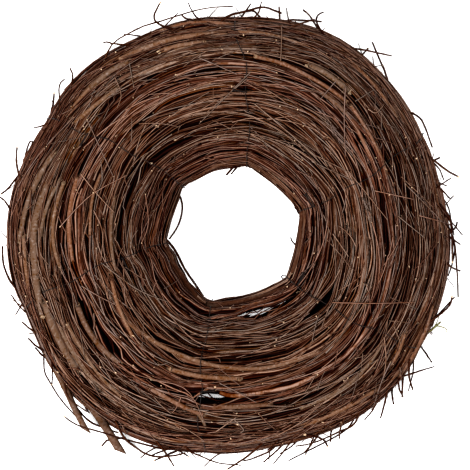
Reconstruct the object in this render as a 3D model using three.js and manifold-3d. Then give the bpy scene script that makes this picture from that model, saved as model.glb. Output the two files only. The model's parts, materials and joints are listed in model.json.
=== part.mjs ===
// A rattan wreath that lies flat: rows of twigs wound round a hole, bound by six wires.
// Millimetres, +Z up. The origin is on the surface the wreath lies on, under the middle of its rim circle.
// The rows are laid out on an even ring, then place() bends every point to the real, uneven wreath.
import * as THREE from 'three';
import { mergeVertices } from 'three/addons/utils/BufferGeometryUtils.js';
import Module from 'manifold-3d';

const wasm = await Module();
wasm.setup();

// Driving dimensions, in millimetres and degrees
const ROW_RADIUS = 11.75; // outermost twigs of a row, from its middle
const ROW_PITCH = 2 * ROW_RADIUS + 0.3; // neighbouring rows lie against each other
const FLATTENED = 1.25; // how far the back rows are pressed flat where they lie
const FACE_LEVEL = 14; // where the face is widest
const ROWS_ACROSS_FACE = 8;
const RIM_AT_WIRES = 199;
const RIM_SWELL = 1.6; // more than that between two wires
// Where the rim is flatter, or fuller where the depth is below 0
const RIM_DENTS = [
  { at: 7, width: 12, depth: 3.5 },
  { at: 55, width: 18, depth: -5 },
  { at: 109, width: 10, depth: 2.5 },
  { at: 147, width: 12, depth: 4 },
  { at: 199, width: 9, depth: 3.5 },
  { at: 276, width: 20, depth: 6 },
  { at: 315, width: 12, depth: -2.5 },
];
const HOLE_AT_WIRES = 60;
const HOLE_SQUEEZE = 4.3; // less than that between two wires
// Where the hole is wider, or narrower where the depth is below 0
const HOLE_DENTS = [
  { at: 110, width: 14, depth: 2.3 },
  { at: 203, width: 9, depth: -3 },
  { at: 233, width: 8, depth: 3 },
  { at: 250, width: 11, depth: 4 },
];
const HOLE_MIDDLE = { x: 4.5, y: 3.8 }; // the hole is off the middle of the rim
const WANDER = { reach: 2.4, turns: 2, across: 19, start: 4 }; // the rows don't run quite round
const WIRE_LEAN = 10.5; // each wire runs this much further round at the rim than at the hole
const WIRE_ANGLES = [23, 84, 142, 194, 258, 325]; // at the middle of the band
const WIRE_RADIUS = 0.45;
const WIRE_CLEARANCE = 0.35; // from the twigs it binds
const WIRE_BITE = 0.93; // the wires draw the twigs in to this share of the row's radius
const WIRE_DIP = 38; // it leaves a row this far short of where the row meets the next
const WIRE_BEND = 43; // the most it turns at one of its corners
const WIRE_LIFT = { height: 2.2, reach: 9 }; // the back stands clear of the surface near a wire
const STEPS_BETWEEN_WIRES = 5;
const TWIG_PITCH = 6.6; // ridges on the skin of a row
const TWIG_DEPTH = { least: 1.8, most: 2.9 }; // grooves between them
const TWIG_SWAY = 0.42; // how far a ridge strays sideways, in ridge pitches
const TWIG_RISE = 0.045; // how far it rises and falls, in row radii
const STRAY_RADIUS = 1.3;
const STRAY_ROOT = 4; // a stray twig starts this far from the middle of its row
const STRAY_RUN = { least: 4, most: 11 }; // degrees round the ring
const CLEAR_OF_WIRE = 2.5; // degrees
// The longest twig ends off the rim: angle and radius of the tip, and the angle where it leaves the rim
const LONG_ENDS = [
  [0.8, 207.5, 6], [14.6, 211.5, 20], [48, 217, 54], [54, 218, 47], [67, 216.5, 71], [72, 215.5, 68],
  [78, 212.5, 80], [84.6, 210.5, 86], [91, 206, 106], [99.5, 211, 97], [106, 216, 110], [118, 206, 124],
  [134, 206, 128], [157, 205, 152], [170, 207.5, 163], [184, 205, 178], [219, 208, 213], [264, 207, 270],
  [285, 208, 279], [310, 210, 306], [319, 211.5, 316], [328, 216, 323], [337, 211.5, 341], [345.5, 211, 355],
];

const DEGREE = Math.PI / 180;
const FULL_TURN = 2 * Math.PI;
const HALF_BAND = 2.5 * ROW_PITCH + ROW_RADIUS;
const BACK_LEVEL = ROW_RADIUS - FLATTENED;
const INNER_LEVEL = BACK_LEVEL + ROW_PITCH;
const TOP_LEVEL = INNER_LEVEL + ROW_PITCH;

// Finishes
const BARK = {
  brown: { color: 0x5c3d2e, roughness: 0.9, metalness: 0 },
  red: { color: 0x6b4433, roughness: 0.9, metalness: 0 },
  grey: { color: 0x6e5748, roughness: 0.9, metalness: 0 },
  dark: { color: 0x46301f, roughness: 0.95, metalness: 0 },
};
const FACE_FINISHES = [BARK.brown, BARK.red, BARK.grey];
const IRON = { color: 0x2b2523, roughness: 0.5, metalness: 0.8 };

// A repeatable draw of numbers from 0 to 1
function dice(seed) {
  let state = seed >>> 0;
  return () => {
    state = (state + 0x6d2b79f5) >>> 0;
    let word = Math.imul(state ^ (state >>> 15), state | 1);
    word ^= word + Math.imul(word ^ (word >>> 7), word | 61);
    return ((word ^ (word >>> 14)) >>> 0) / 4294967296;
  };
}

// The uneven wreath

// The two wires that an angle lies between, and how far it is from the first to the second, 0 to 1
function betweenWires(angle) {
  const turn = ((angle - WIRE_ANGLES[0]) % 360 + 360) % 360 + WIRE_ANGLES[0];
  const ends = [...WIRE_ANGLES, WIRE_ANGLES[0] + 360];
  const first = ends.findLastIndex((end) => end <= turn);
  const start = ends[first];
  const end = ends[first + 1];
  return { share: (turn - start) / (end - start), gap: Math.min(turn - start, end - turn) };
}

// How deep a row of dents is at an angle
function dented(angle, dents) {
  let total = 0;
  for (const { at, width, depth } of dents) {
    const off = ((angle - at + 540) % 360 - 180) / width;
    total += depth * Math.exp(-off * off);
  }
  return total;
}

// The radius of the hole at an angle, and how much wider the band is there than on the even ring
function bandAt(angle) {
  const swell = Math.sin(Math.PI * betweenWires(angle).share);
  const hole = HOLE_AT_WIRES - HOLE_SQUEEZE * swell + dented(angle, HOLE_DENTS);
  const rim = RIM_AT_WIRES + RIM_SWELL * swell - dented(angle, RIM_DENTS);
  return { hole, scale: (rim - hole) / (2 * HALF_BAND) };
}

// angle round the ring, distance x from the middle of the band towards the rim, and height on the even ring
function place(angle, x, height) {
  const out = THREE.MathUtils.clamp((x + HALF_BAND) / (2 * HALF_BAND), 0, 1);
  const { hole, scale } = bandAt(angle);
  const wave = Math.sin(WANDER.turns * angle * DEGREE + x / WANDER.across + WANDER.start);
  const wander = WANDER.reach * Math.sin(Math.PI * out) * wave;
  const radius = hole + (x + HALF_BAND + wander) * scale;
  const turn = (angle + WIRE_LEAN * (out - 0.5)) * DEGREE;
  const nearWire = Math.max(0, 1 - (betweenWires(angle).gap / WIRE_LIFT.reach) ** 2);
  return new THREE.Vector3(
    HOLE_MIDDLE.x * (1 - out) + radius * Math.cos(turn),
    HOLE_MIDDLE.y * (1 - out) + radius * Math.sin(turn),
    height * scale + WIRE_LIFT.height * nearWire ** 2,
  );
}

// Where the rows lie in the band

// The face rows lie on half an ellipse. The two at the top lie on the inner rows, and each next one lies
// against the one before it.
function faceRows() {
  const wide = 2.5 * ROW_PITCH;
  const rise = (TOP_LEVEL - FACE_LEVEL) / Math.sqrt(1 - (ROW_PITCH / 2 / wide) ** 2);
  const onFace = (turn) => ({ x: wide * Math.sin(turn), z: FACE_LEVEL + rise * Math.cos(turn) });
  const smallTurn = 0.0005;
  const turns = [Math.asin(ROW_PITCH / 2 / wide)];
  while (turns.length < ROWS_ACROSS_FACE / 2) {
    const here = onFace(turns.at(-1));
    let turn = turns.at(-1);
    while (Math.hypot(onFace(turn).x - here.x, onFace(turn).z - here.z) < ROW_PITCH) {
      turn += smallTurn;
    }
    turns.push(turn);
  }
  const rimSide = turns.map(onFace);
  const holeSide = rimSide.map((row) => ({ x: -row.x, z: row.z })).reverse();
  return [...holeSide, ...rimSide];
}

const FACE_ROWS = faceRows();
const BACK_ROWS = [-1.5, -0.5, 0.5, 1.5].map((n) => ({ x: n * ROW_PITCH, z: BACK_LEVEL, lies: true }));
const INNER_ROWS = [-0.5, 0.5].map((n) => ({ x: n * ROW_PITCH, z: INNER_LEVEL }));
const LOOP = [...FACE_ROWS, ...BACK_ROWS.toReversed()]; // from the hole over the face to the rim and back

const direction = (from, to) => Math.atan2(to.z - from.z, to.x - from.x);

// Each row of the loop shows the arc from the row before it round the outside to the next one, clockwise
LOOP.forEach((row, n) => {
  const before = direction(row, LOOP.at(n - 1));
  const after = direction(row, LOOP[(n + 1) % LOOP.length]);
  row.arcStart = before;
  row.arcLength = -((before - after + FULL_TURN) % FULL_TURN);
});

// The angles at which a row's section is drawn: at each wire and in even steps between
const STATIONS = WIRE_ANGLES.flatMap((start, n) => {
  const end = n + 1 < WIRE_ANGLES.length ? WIRE_ANGLES[n + 1] : WIRE_ANGLES[0] + 360;
  const step = (end - start) / STEPS_BETWEEN_WIRES;
  return Array.from({ length: STEPS_BETWEEN_WIRES }, (_, k) => start + step * k);
});

// Meshes from rings of points

function geometryOf(points, indices) {
  const geometry = new THREE.BufferGeometry();
  geometry.setAttribute('position', new THREE.Float32BufferAttribute(points, 3));
  geometry.setIndex(indices);
  return geometry;
}

function meshFromRings(rings, closed) {
  const around = rings[0].length;
  const indices = [];
  const last = closed ? rings.length : rings.length - 1;
  for (let i = 0; i < last; i += 1) {
    const here = i * around;
    const next = ((i + 1) % rings.length) * around;
    for (let j = 0; j < around; j += 1) {
      const k = (j + 1) % around;
      indices.push(here + j, here + k, next + k, here + j, next + k, next + j);
    }
  }
  if (!closed) {
    const end = (rings.length - 1) * around;
    for (let j = 1; j < around - 1; j += 1) {
      indices.push(0, j + 1, j, end, end + j, end + j + 1);
    }
  }
  const points = rings.flat().flatMap((point) => point.toArray());
  return facingOut(geometryOf(points, indices));
}

// Turns a closed mesh right side out
function facingOut(geometry) {
  const position = geometry.getAttribute('position');
  const index = geometry.getIndex();
  const corner = [0, 1, 2].map(() => new THREE.Vector3());
  let volume = 0;
  for (let i = 0; i < index.count; i += 3) {
    corner.forEach((point, k) => point.fromBufferAttribute(position, index.getX(i + k)));
    volume += corner[0].dot(corner[1].clone().cross(corner[2]));
  }
  if (volume < 0) {
    index.array.reverse();
  }
  return geometry;
}

function toSolid(geometry) {
  const merged = mergeVertices(geometry);
  return new wasm.Manifold(new wasm.Mesh({
    numProp: 3,
    vertProperties: new Float32Array(merged.getAttribute('position').array),
    triVerts: new Uint32Array(merged.getIndex().array),
  }));
}

function toGeometry(solid) {
  const mesh = solid.getMesh();
  return geometryOf(mesh.vertProperties, Array.from(mesh.triVerts));
}

// A round stick through points, with a radius for each of them
function stick(points, radii, sides) {
  const side = new THREE.Vector3();
  let lastSide = null;
  const rings = points.map((point, i) => {
    const before = points[Math.max(i - 1, 0)];
    const after = points[Math.min(i + 1, points.length - 1)];
    const along = after.clone().sub(before).normalize();
    side.copy(lastSide ?? new THREE.Vector3(0, 0, 1));
    side.addScaledVector(along, -side.dot(along)).normalize();
    lastSide = side.clone();
    const other = along.clone().cross(side);
    return Array.from({ length: sides }, (_, k) => {
      const turn = FULL_TURN * k / sides;
      return point.clone()
        .addScaledVector(side, radii[i] * Math.cos(turn))
        .addScaledVector(other, radii[i] * Math.sin(turn));
    });
  });
  return meshFromRings(rings, false);
}

// A row of twigs

// The ridges and grooves from one direction to another. The ridges at the two ends stay where they are; one
// that meets a neighbouring row isn't drawn in by the wires.
function skin(from, length, seed, meets) {
  const draw = dice(seed);
  const count = Math.max(1, Math.round(Math.abs(length) * ROW_RADIUS / TWIG_PITCH));
  const lanes = Array.from({ length: count + 1 }, (_, n) => ({
    end: n === 0 || n === count,
    meets: (n === 0 && meets.start) || (n === count && meets.end),
    middle: from + length * n / count,
    sway: { turns: 3 + Math.floor(draw() * 6), start: draw() * FULL_TURN },
    rise: { turns: 2 + Math.floor(draw() * 5), start: draw() * FULL_TURN },
    depth: THREE.MathUtils.lerp(TWIG_DEPTH.least, TWIG_DEPTH.most, draw()),
  }));
  const wave = ({ turns, start }, angle) => Math.sin(turns * angle * DEGREE + start);
  const heightOf = (lane, angle, atWire) => {
    if (atWire && !lane.meets) {
      return WIRE_BITE;
    }
    return lane.end ? 1 : 1 - TWIG_RISE + TWIG_RISE * wave(lane.rise, angle);
  };
  return (angle, atWire) => {
    const ridges = lanes.map((lane) => ({
      turn: lane.middle + (lane.end ? 0 : TWIG_SWAY * (length / count) * wave(lane.sway, angle)),
      radius: ROW_RADIUS * heightOf(lane, angle, atWire),
    }));
    return ridges.flatMap((ridge, n) => {
      const next = ridges[n + 1];
      if (!next) {
        return [ridge];
      }
      const bottom = Math.min(ridge.radius, next.radius) - lanes[n].depth;
      return [ridge, { turn: (ridge.turn + next.turn) / 2, radius: bottom }];
    });
  };
}

// Evenly spread points without ridges, between two directions
function plain(from, length, count) {
  const step = length / (count + 1);
  return Array.from({ length: count }, (_, n) => ({ turn: from + step * (n + 1), radius: ROW_RADIUS }));
}

// A row's section at an angle round the ring: ridges where it shows, plain where it is turned to the inside
function sectionOf(row, seed) {
  const bearsInnerRow = Math.abs(row.x) < ROW_PITCH;
  const inside = plain(row.arcStart + row.arcLength, -FULL_TURN - row.arcLength, bearsInnerRow ? 3 : 2);
  if (!row.lies) {
    const shown = skin(row.arcStart, row.arcLength, seed, { start: true, end: true });
    return (angle, atWire) => [...shown(angle, atWire), ...inside];
  }
  // A row that lies on the surface has a flat between its two edges
  const half = Math.sqrt(ROW_RADIUS ** 2 - BACK_LEVEL ** 2);
  const [firstEdge, secondEdge] = [half, -half].map((x) => Math.atan2(-BACK_LEVEL, x));
  const sideLength = firstEdge - row.arcStart;
  const first = skin(row.arcStart, sideLength, seed, { start: true });
  const second = skin(secondEdge, sideLength, seed + 1, { end: true });
  return (angle, atWire) => [...first(angle, atWire), ...second(angle, atWire), ...inside];
}

function innerSection() {
  return plain(0, FULL_TURN * 9 / 8, 8);
}

function rowGeometry(row, section) {
  const rings = STATIONS.map((angle, n) => {
    const points = section(angle, n % STEPS_BETWEEN_WIRES === 0);
    return points.map(({ turn, radius }) => {
      const height = row.z + radius * Math.sin(turn);
      return place(angle, row.x + radius * Math.cos(turn), Math.max(0, height));
    });
  });
  return meshFromRings(rings, true);
}

// Canes and stray twigs, which grow out of a row. Each point is an angle round the ring, a direction from the
// middle of the row and a distance from it.

function fromRow(row, [angle, turn, distance]) {
  return place(angle, row.x + distance * Math.cos(turn * DEGREE), row.z + distance * Math.sin(turn * DEGREE));
}

function growth(row, points, radii, sides) {
  return stick(points.map((point) => fromRow(row, point)), radii, sides);
}

// A thick cane that shows in the face, half sunk in its row, with its ends tucked in
function sunkCane(row, { from, to, turn, radius }) {
  const tucked = ROW_RADIUS - 1.2 * radius;
  const proud = ROW_RADIUS + 0.25 * radius;
  const tuck = 5;
  const points = [
    [from, turn, tucked],
    [from + tuck, turn, proud],
    [(from + to) / 2, turn + 3, proud],
    [to - tuck, turn, proud],
    [to, turn, tucked],
  ];
  return growth(row, points, points.map(() => radius), 5);
}

const strayRadii = [STRAY_RADIUS, STRAY_RADIUS, 0.6 * STRAY_RADIUS];

// The longest ends off the rim: every second one, from the first or the one after it
function longEnds(row, first) {
  return LONG_ENDS.filter((_, n) => n % 2 === first).map(([tip, radius, leaves]) => {
    const [from, to] = [leaves, tip].map((angle) => angle - WIRE_LEAN / 2);
    const { hole, scale } = bandAt(to);
    const points = [
      place(from - 0.4 * (to - from), row.x + 2, row.z + 1),
      place(from, row.x + 0.92 * ROW_RADIUS, row.z + 5),
      place(to, (radius - hole) / scale - HALF_BAND, row.z + 8),
    ];
    return stick(points, strayRadii, 3);
  });
}

// Twig ends that stand off the rim and the face, drawn at random round a direction from the middle of the row
function strays(row, seed, { count, middle, spread, reach }) {
  const draw = dice(seed);
  const between = (least, most) => least + (most - least) * draw();
  const made = [];
  while (made.length < count) {
    const angle = between(0, 360);
    const run = Math.sign(between(-1, 1)) * between(STRAY_RUN.least, STRAY_RUN.most);
    const turn = middle + between(-spread, spread);
    const points = [
      [angle, turn, STRAY_ROOT],
      [angle + 0.5 * run, turn, ROW_RADIUS + 1],
      [angle + run, turn + between(-10, 10), ROW_RADIUS + between(0.4, 1) * reach],
    ];
    const crossesWire = betweenWires(angle + run / 2).gap < Math.abs(run) / 2;
    const nearWire = [angle, angle + run].some((end) => betweenWires(end).gap < CLEAR_OF_WIRE);
    if (!crossesWire && !nearWire) {
      made.push(growth(row, points, strayRadii, 3));
    }
  }
  return made;
}

// What grows out of each row of the face, by the row's number
const GROWTHS = {
  1: (row) => {
    // A long twig has sprung off the edge of the hole
    const angles = [152, 158, 166, 177, 184, 190];
    const distances = [4, 13, 18.5, 16, 13, 4];
    const points = angles.map((angle, n) => [angle, 165, distances[n]]);
    return [growth(row, points, points.map(() => STRAY_RADIUS), 4)];
  },
  2: (row) => strays(row, 21, { count: 3, middle: 165, spread: 20, reach: 5 }),
  3: (row) => [
    sunkCane(row, { from: 268, to: 300, turn: 105, radius: 2.6 }),
    ...strays(row, 31, { count: 4, middle: 125, spread: 25, reach: 6 }),
  ],
  4: (row) => [
    sunkCane(row, { from: 92, to: 134, turn: 85, radius: 2.4 }),
    ...strays(row, 41, { count: 4, middle: 98, spread: 25, reach: 7 }),
  ],
  5: (row) => [
    sunkCane(row, { from: 204, to: 243, turn: 90, radius: 2.8 }),
    ...strays(row, 51, { count: 4, middle: 82, spread: 25, reach: 7 }),
  ],
  6: (row) => [
    sunkCane(row, { from: 166, to: 190, turn: 52, radius: 3.1 }),
    sunkCane(row, { from: 46, to: 68, turn: 60, radius: 3.6 }),
    ...strays(row, 61, { count: 5, middle: 58, spread: 25, reach: 8 }),
  ],
  7: (row) => [
    sunkCane(row, { from: 276, to: 316, turn: 40, radius: 2.6 }),
    ...longEnds(row, 0),
    ...strays(row, 71, { count: 9, middle: 35, spread: 22, reach: 10 }),
  ],
  8: (row) => [
    // Two thick canes end at the lower left of the rim, cut off
    growth(row, [[203, 30, 4], [209, 22, 9.5], [227.5, 15, 21.5]], [3.3, 3.3, 3], 6),
    growth(row, [[212, 40, 4], [226, 32, 11], [238, 25, 23]], [4, 4.2, 4], 6),
    ...longEnds(row, 1),
    ...strays(row, 81, { count: 9, middle: 12, spread: 34, reach: 8 }),
  ],
};

function withGrowths(geometry, growths) {
  return toGeometry(growths.reduce((whole, piece) => whole.add(toSolid(piece)), toSolid(geometry)));
}

// The binding wires: each goes round all the rows and dips between them

function wireGeometry(angle) {
  const hug = ROW_RADIUS * WIRE_BITE + WIRE_CLEARANCE + WIRE_RADIUS;
  const lowest = -WIRE_CLEARANCE - WIRE_RADIUS;
  const points = LOOP.flatMap((row) => {
    const length = row.arcLength + 2 * WIRE_DIP * DEGREE;
    const count = Math.ceil(-length / (WIRE_BEND * DEGREE));
    const reach = hug / Math.cos(length / count / 2);
    return Array.from({ length: count + 1 }, (_, k) => {
      const turn = row.arcStart - WIRE_DIP * DEGREE + length * k / count;
      return place(angle, row.x + reach * Math.cos(turn), Math.max(lowest, row.z + reach * Math.sin(turn)));
    });
  });
  const sides = 3;
  const rings = points.map((point, n) => {
    const along = points[(n + 1) % points.length].clone().sub(points.at(n - 1)).normalize();
    const side = new THREE.Vector3(-point.y, point.x, 0);
    side.addScaledVector(along, -side.dot(along)).normalize();
    const other = along.clone().cross(side);
    return Array.from({ length: sides }, (_, k) => point.clone()
      .addScaledVector(other, WIRE_RADIUS * Math.cos(FULL_TURN * k / sides))
      .addScaledVector(side, WIRE_RADIUS * Math.sin(FULL_TURN * k / sides)));
  });
  return meshFromRings(rings, true);
}

// The wreath

const group = new THREE.Group();

function addMesh(name, geometry, finish) {
  const mesh = new THREE.Mesh(geometry, new THREE.MeshStandardMaterial(finish));
  mesh.name = name;
  group.add(mesh);
}

FACE_ROWS.forEach((row, n) => {
  const number = n + 1;
  const geometry = rowGeometry(row, sectionOf(row, 11 * n + 3));
  const finish = FACE_FINISHES[n % FACE_FINISHES.length];
  addMesh(`row_${number}`, withGrowths(geometry, GROWTHS[number](row)), finish);
});
BACK_ROWS.forEach((row, n) => {
  addMesh(`back_row_${n + 1}`, rowGeometry(row, sectionOf(row, 7 * n + 101)), BARK.brown);
});
INNER_ROWS.forEach((row, n) => {
  addMesh(`inner_row_${n + 1}`, rowGeometry(row, innerSection), BARK.dark);
});
WIRE_ANGLES.forEach((angle, n) => {
  addMesh(`tie_wire_${n + 1}`, wireGeometry(angle), IRON);
});

export default group;
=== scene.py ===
"""A rattan wreath that lies flat: rows of twigs wound round a hole and bound by six wires.

Every row of the frame is laid again out of single twigs, each bent along a path of its own. The paths are
set out on an even ring and then bent to the uneven wreath by place(), as the frame's rows are. While twigs
are laid, lengths are in millimetres and angles round the ring in degrees. The meshes are in metres.
"""
import json
import math
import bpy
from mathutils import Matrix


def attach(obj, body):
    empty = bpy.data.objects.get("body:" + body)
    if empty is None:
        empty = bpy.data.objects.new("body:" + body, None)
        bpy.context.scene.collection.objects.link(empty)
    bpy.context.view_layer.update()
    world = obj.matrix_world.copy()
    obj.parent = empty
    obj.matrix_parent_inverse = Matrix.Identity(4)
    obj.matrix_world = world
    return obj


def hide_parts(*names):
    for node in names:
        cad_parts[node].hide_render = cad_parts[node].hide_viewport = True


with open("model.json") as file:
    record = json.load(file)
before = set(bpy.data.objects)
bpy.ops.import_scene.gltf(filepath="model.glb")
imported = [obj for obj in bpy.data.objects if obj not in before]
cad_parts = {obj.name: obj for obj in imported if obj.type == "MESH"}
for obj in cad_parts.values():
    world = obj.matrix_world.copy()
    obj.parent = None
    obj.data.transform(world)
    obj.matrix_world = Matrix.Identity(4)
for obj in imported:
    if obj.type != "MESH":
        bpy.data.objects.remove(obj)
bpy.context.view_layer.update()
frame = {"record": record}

from types import SimpleNamespace

import bmesh
import bpy
import numpy as np

# Driving dimensions, as the frame's rows and wires have them
METRES = 0.001
ROW_RADIUS = 11.75
ROW_PITCH = 2 * ROW_RADIUS + 0.3
FLATTENED = 1.25  # how far the back rows are pressed flat where they lie
BACK_LEVEL = ROW_RADIUS - FLATTENED
INNER_LEVEL = BACK_LEVEL + ROW_PITCH
TOP_LEVEL = INNER_LEVEL + ROW_PITCH
FACE_LEVEL = 14
FACE_WIDTH = 2.5 * ROW_PITCH
HALF_BAND = FACE_WIDTH + ROW_RADIUS
RIM_AT_WIRES = 199
RIM_SWELL = 1.6
HOLE_AT_WIRES = 60
HOLE_SQUEEZE = 4.3
HOLE_MIDDLE = (4.5, 3.8)
WANDER = SimpleNamespace(reach=2.4, turns=2, across=19, start=4)
WIRE_LEAN = 10.5
WIRE_ANGLES = np.array([23, 84, 142, 194, 258, 325])
WIRE_RADIUS = 0.4
WIRE_CLEARANCE = 0.35  # from the twigs it binds
WIRE_BITE = 0.93  # the wires draw the twigs in to this share of the row's radius
WIRE_DIP = 38  # it leaves a row this far short of where the row meets the next
WIRE_LIFT = SimpleNamespace(height=2.2, reach=9)
WIRE_SLACK = SimpleNamespace(turn=0.7, across=8.5)

# Where the rim and the hole are flatter or fuller than a circle: the angle, how wide and how deep
RIM_DENTS = [
    (7, 12, 3.5), (55, 18, -5), (109, 10, 2.5), (147, 12, 4), (199, 9, 3.5), (276, 20, 6), (315, 12, -2.5),
]
HOLE_DENTS = [(110, 14, 2.3), (203, 9, -3), (233, 8, 3), (250, 11, 4)]

# How the picture shows the wreath
PICTURE_SIDE = 470
RIM_MIDDLE = (228.8, 237.3)
MM_PER_PIXEL = 0.897

# Twigs
STEPS = 28  # bends along a twig
WIRE_PULL = 10  # a wire draws the twigs in this far to either side of it
LIT_SIDE_UP = 0.7  # how far the rows on the rim's side turn the painted lit side of their twigs upwards
LOWEST = 1.5  # the middle of a twig stays this many of its radii above the ground
TWIG_RADII = SimpleNamespace(thin=(0.5, 0.9), medium=(0.9, 1.4), thick=(1.7, 2.7), medium_share=0.35)
ROUNDER = 1.3  # from this radius on, a twig has more sides
KNOTS = SimpleNamespace(share=0.06, swell=0.25)
SLANT_CUTS = SimpleNamespace(share=0.4, slope=(0.5, 1.6))
WEATHERED_CUT = (0.05, 0.4)  # how much of the pale wood an old cut still shows
BARK_LENGTH = 4000  # each twig's bark starts somewhere along this

# Where the twigs stand apart: the pixels of a line along the middle of the parting, half its width, and the
# height it reaches down to. The ones that reach the ground show what the wreath lies on.
GROUND = -100
WIDE_PARTINGS = [
    ([(119, 266), (118, 250), (120, 234), (124, 215), (130, 199), (138, 181), (150, 164), (172, 147),
     (216, 134)], 1.35, 30),
    ([(93, 220), (90, 240), (90, 256), (93, 266)], 1.8, 30),
    ([(32, 236), (32, 248), (34, 260)], 1.2, 20),
    ([(369, 176), (375, 191), (380, 209), (383, 225), (385, 245), (384, 264)], 1.2, 30),
    ([(333, 284), (325, 297), (316, 308), (303, 317)], 2.8, 26),
    ([(80, 292), (86, 306), (93, 318), (100, 328)], 2.4, 28),
    ([(101, 332), (112, 343), (124, 351), (138, 360)], 2.2, 28),
    ([(178, 381), (196, 389), (214, 394), (240, 396), (268, 396)], 2.0, 28),
    ([(188, 388), (202, 393), (214, 396), (228, 397)], 5.0, GROUND),
    ([(258, 399), (285, 398), (310, 392), (332, 383)], 1.5, 28),
    ([(150, 345), (175, 352), (200, 357), (222, 358), (250, 356), (280, 351), (305, 341),
     (324, 328)], 1.3, 32),
    ([(150, 403), (180, 416), (212, 423), (250, 424)], 1.1, 20),
    ([(180, 34), (200, 28), (220, 27)], 1.3, 20),
    ([(98, 119), (112, 105), (130, 93)], 1.1, 24),
    ([(298, 65), (320, 76), (340, 90), (354, 104)], 1.2, 24),
    ([(233, 93), (243, 91), (254, 95)], 1.6, 30),
    ([(236, 314), (255, 312), (275, 306), (299, 294)], 1.8, 12),
    ([(238, 314), (250, 314), (262, 312), (274, 309)], 2.7, GROUND),
    ([(174, 288), (190, 303), (205, 312), (226, 317)], 1.6, 14),
]
WIDE_REACH = 13  # twigs this far from the middle of a parting aren't moved
SEEN_GROUND = 3.4  # hidden twigs keep this far from the middle of a parting that reaches the ground
OPENS_WITHIN = 8  # a parting opens to its full width over this height
BRIDGES_LEFT = 0.1  # of the twigs that run across a wide parting

# Short narrow partings scattered over the face. They reach down to base, less fall for each millimetre out.
NARROW = SimpleNamespace(
    count=64, middle=(68, 196), length=(40, 100), slant=1.5, half=(0.4, 1.0), base=34, fall=0.1, reach=5,
)

# How sheaves of twigs run to and fro across the band: how far, how often in a turn, over how much of the
# band's width, and where each wave starts
SHEAVES = [
    (0.8, 5, 3.1, 0.3), (0.7, 7, -4.3, 1.9), (0.55, 9, 2.8, 4.0), (0.5, 12, -2.6, 2.2), (0.45, 17, 3.6, 5.1),
]


# The uneven wreath


def between_wires(angle):
    """How far an angle is from one wire to the next, 0 to 1, and from the nearer one, in degrees."""
    turn = (angle - WIRE_ANGLES[0]) % 360 + WIRE_ANGLES[0]
    ends = np.append(WIRE_ANGLES, WIRE_ANGLES[0] + 360)
    first = np.clip(np.searchsorted(ends, turn, side="right") - 1, 0, len(WIRE_ANGLES) - 1)
    start, end = ends[first], ends[first + 1]
    return (turn - start) / (end - start), np.minimum(turn - start, end - turn)


def dented(angle, dents):
    """How deep the dents are at an angle."""
    return sum(deep * np.exp(-((((angle - at + 180) % 360 - 180) / wide) ** 2)) for at, wide, deep in dents)


def band_at(angle):
    """The radius of the hole, and how much wider the band is than on the even ring."""
    swell = np.sin(np.pi * between_wires(angle)[0])
    hole = HOLE_AT_WIRES - HOLE_SQUEEZE * swell + dented(angle, HOLE_DENTS)
    rim = RIM_AT_WIRES + RIM_SWELL * swell - dented(angle, RIM_DENTS)
    return hole, (rim - hole) / (2 * HALF_BAND)


def way_out(across):
    """How far out over the band a place lies, from 0 at the hole to 1 at the rim."""
    return np.clip((across + HALF_BAND) / (2 * HALF_BAND), 0, 1)


def wander(angle, across, sheaves=()):
    """How far the twigs run to and fro across the band, most in the middle of it."""
    wave = WANDER.reach * np.sin(WANDER.turns * np.radians(angle) + across / WANDER.across + WANDER.start)
    for reach, turns, width, start in sheaves:
        wave = wave + reach * np.sin(turns * np.radians(angle) + across / width + start)
    return np.sin(np.pi * way_out(across)) * wave


def from_picture(points):
    """Millimetres from the middle of the rim, for the pixels of the picture."""
    x, y = np.array(points, float).T
    return (x - RIM_MIDDLE[0]) * MM_PER_PIXEL, (RIM_MIDDLE[1] - y) * MM_PER_PIXEL


def wide_partings():
    for points, half, down_to in WIDE_PARTINGS:
        x, y = from_picture(points)
        angle = np.degrees(np.unwrap(np.arctan2(y, x)))
        order = np.argsort(angle)
        yield SimpleNamespace(
            angles=angle[order], radii=np.hypot(x, y)[order], half=half, down_to=down_to, reach=WIDE_REACH,
        )


def narrow_partings():
    draw = np.random.default_rng(5)
    for _ in range(NARROW.count):
        middle = draw.uniform(*NARROW.middle)
        start, length = draw.uniform(0, 360), draw.uniform(*NARROW.length)
        yield SimpleNamespace(
            angles=np.array([start, start + math.degrees(length / middle)]),
            radii=middle + draw.uniform(-NARROW.slant, NARROW.slant, 2),
            half=draw.uniform(*NARROW.half), down_to=NARROW.base - NARROW.fall * middle, reach=NARROW.reach,
        )


WIDE = list(wide_partings())
PARTINGS = WIDE + list(narrow_partings())


def off_parting(points, parting):
    """How far along a parting points are, 0 to 1, and how far out from the middle of it."""
    x, y = points[..., 0], points[..., 1]
    first, last = parting.angles[[0, -1]]
    turn = (np.degrees(np.arctan2(y, x)) - first) % 360
    middle = np.interp(turn, parting.angles - first, parting.radii)
    return np.clip(turn / (last - first), 0, 1), np.hypot(x, y) - middle


def part(points, partings):
    """Pushes points aside where the twigs stand apart."""
    x, y, z = np.moveaxis(points, -1, 0)
    radius = np.hypot(x, y)
    moved = np.zeros_like(radius)
    for parting in partings:
        share, off = off_parting(points, parting)
        fades = np.clip(1 - np.abs(off) / parting.reach, 0, 1)
        upper = np.clip((z - parting.down_to) / OPENS_WITHIN, 0, 1)
        moved += parting.half * np.sin(np.pi * share) * fades * upper * np.sign(off)
    scale = 1 + moved / np.maximum(radius, 1)
    return np.stack([x * scale, y * scale, z], -1)


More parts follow.
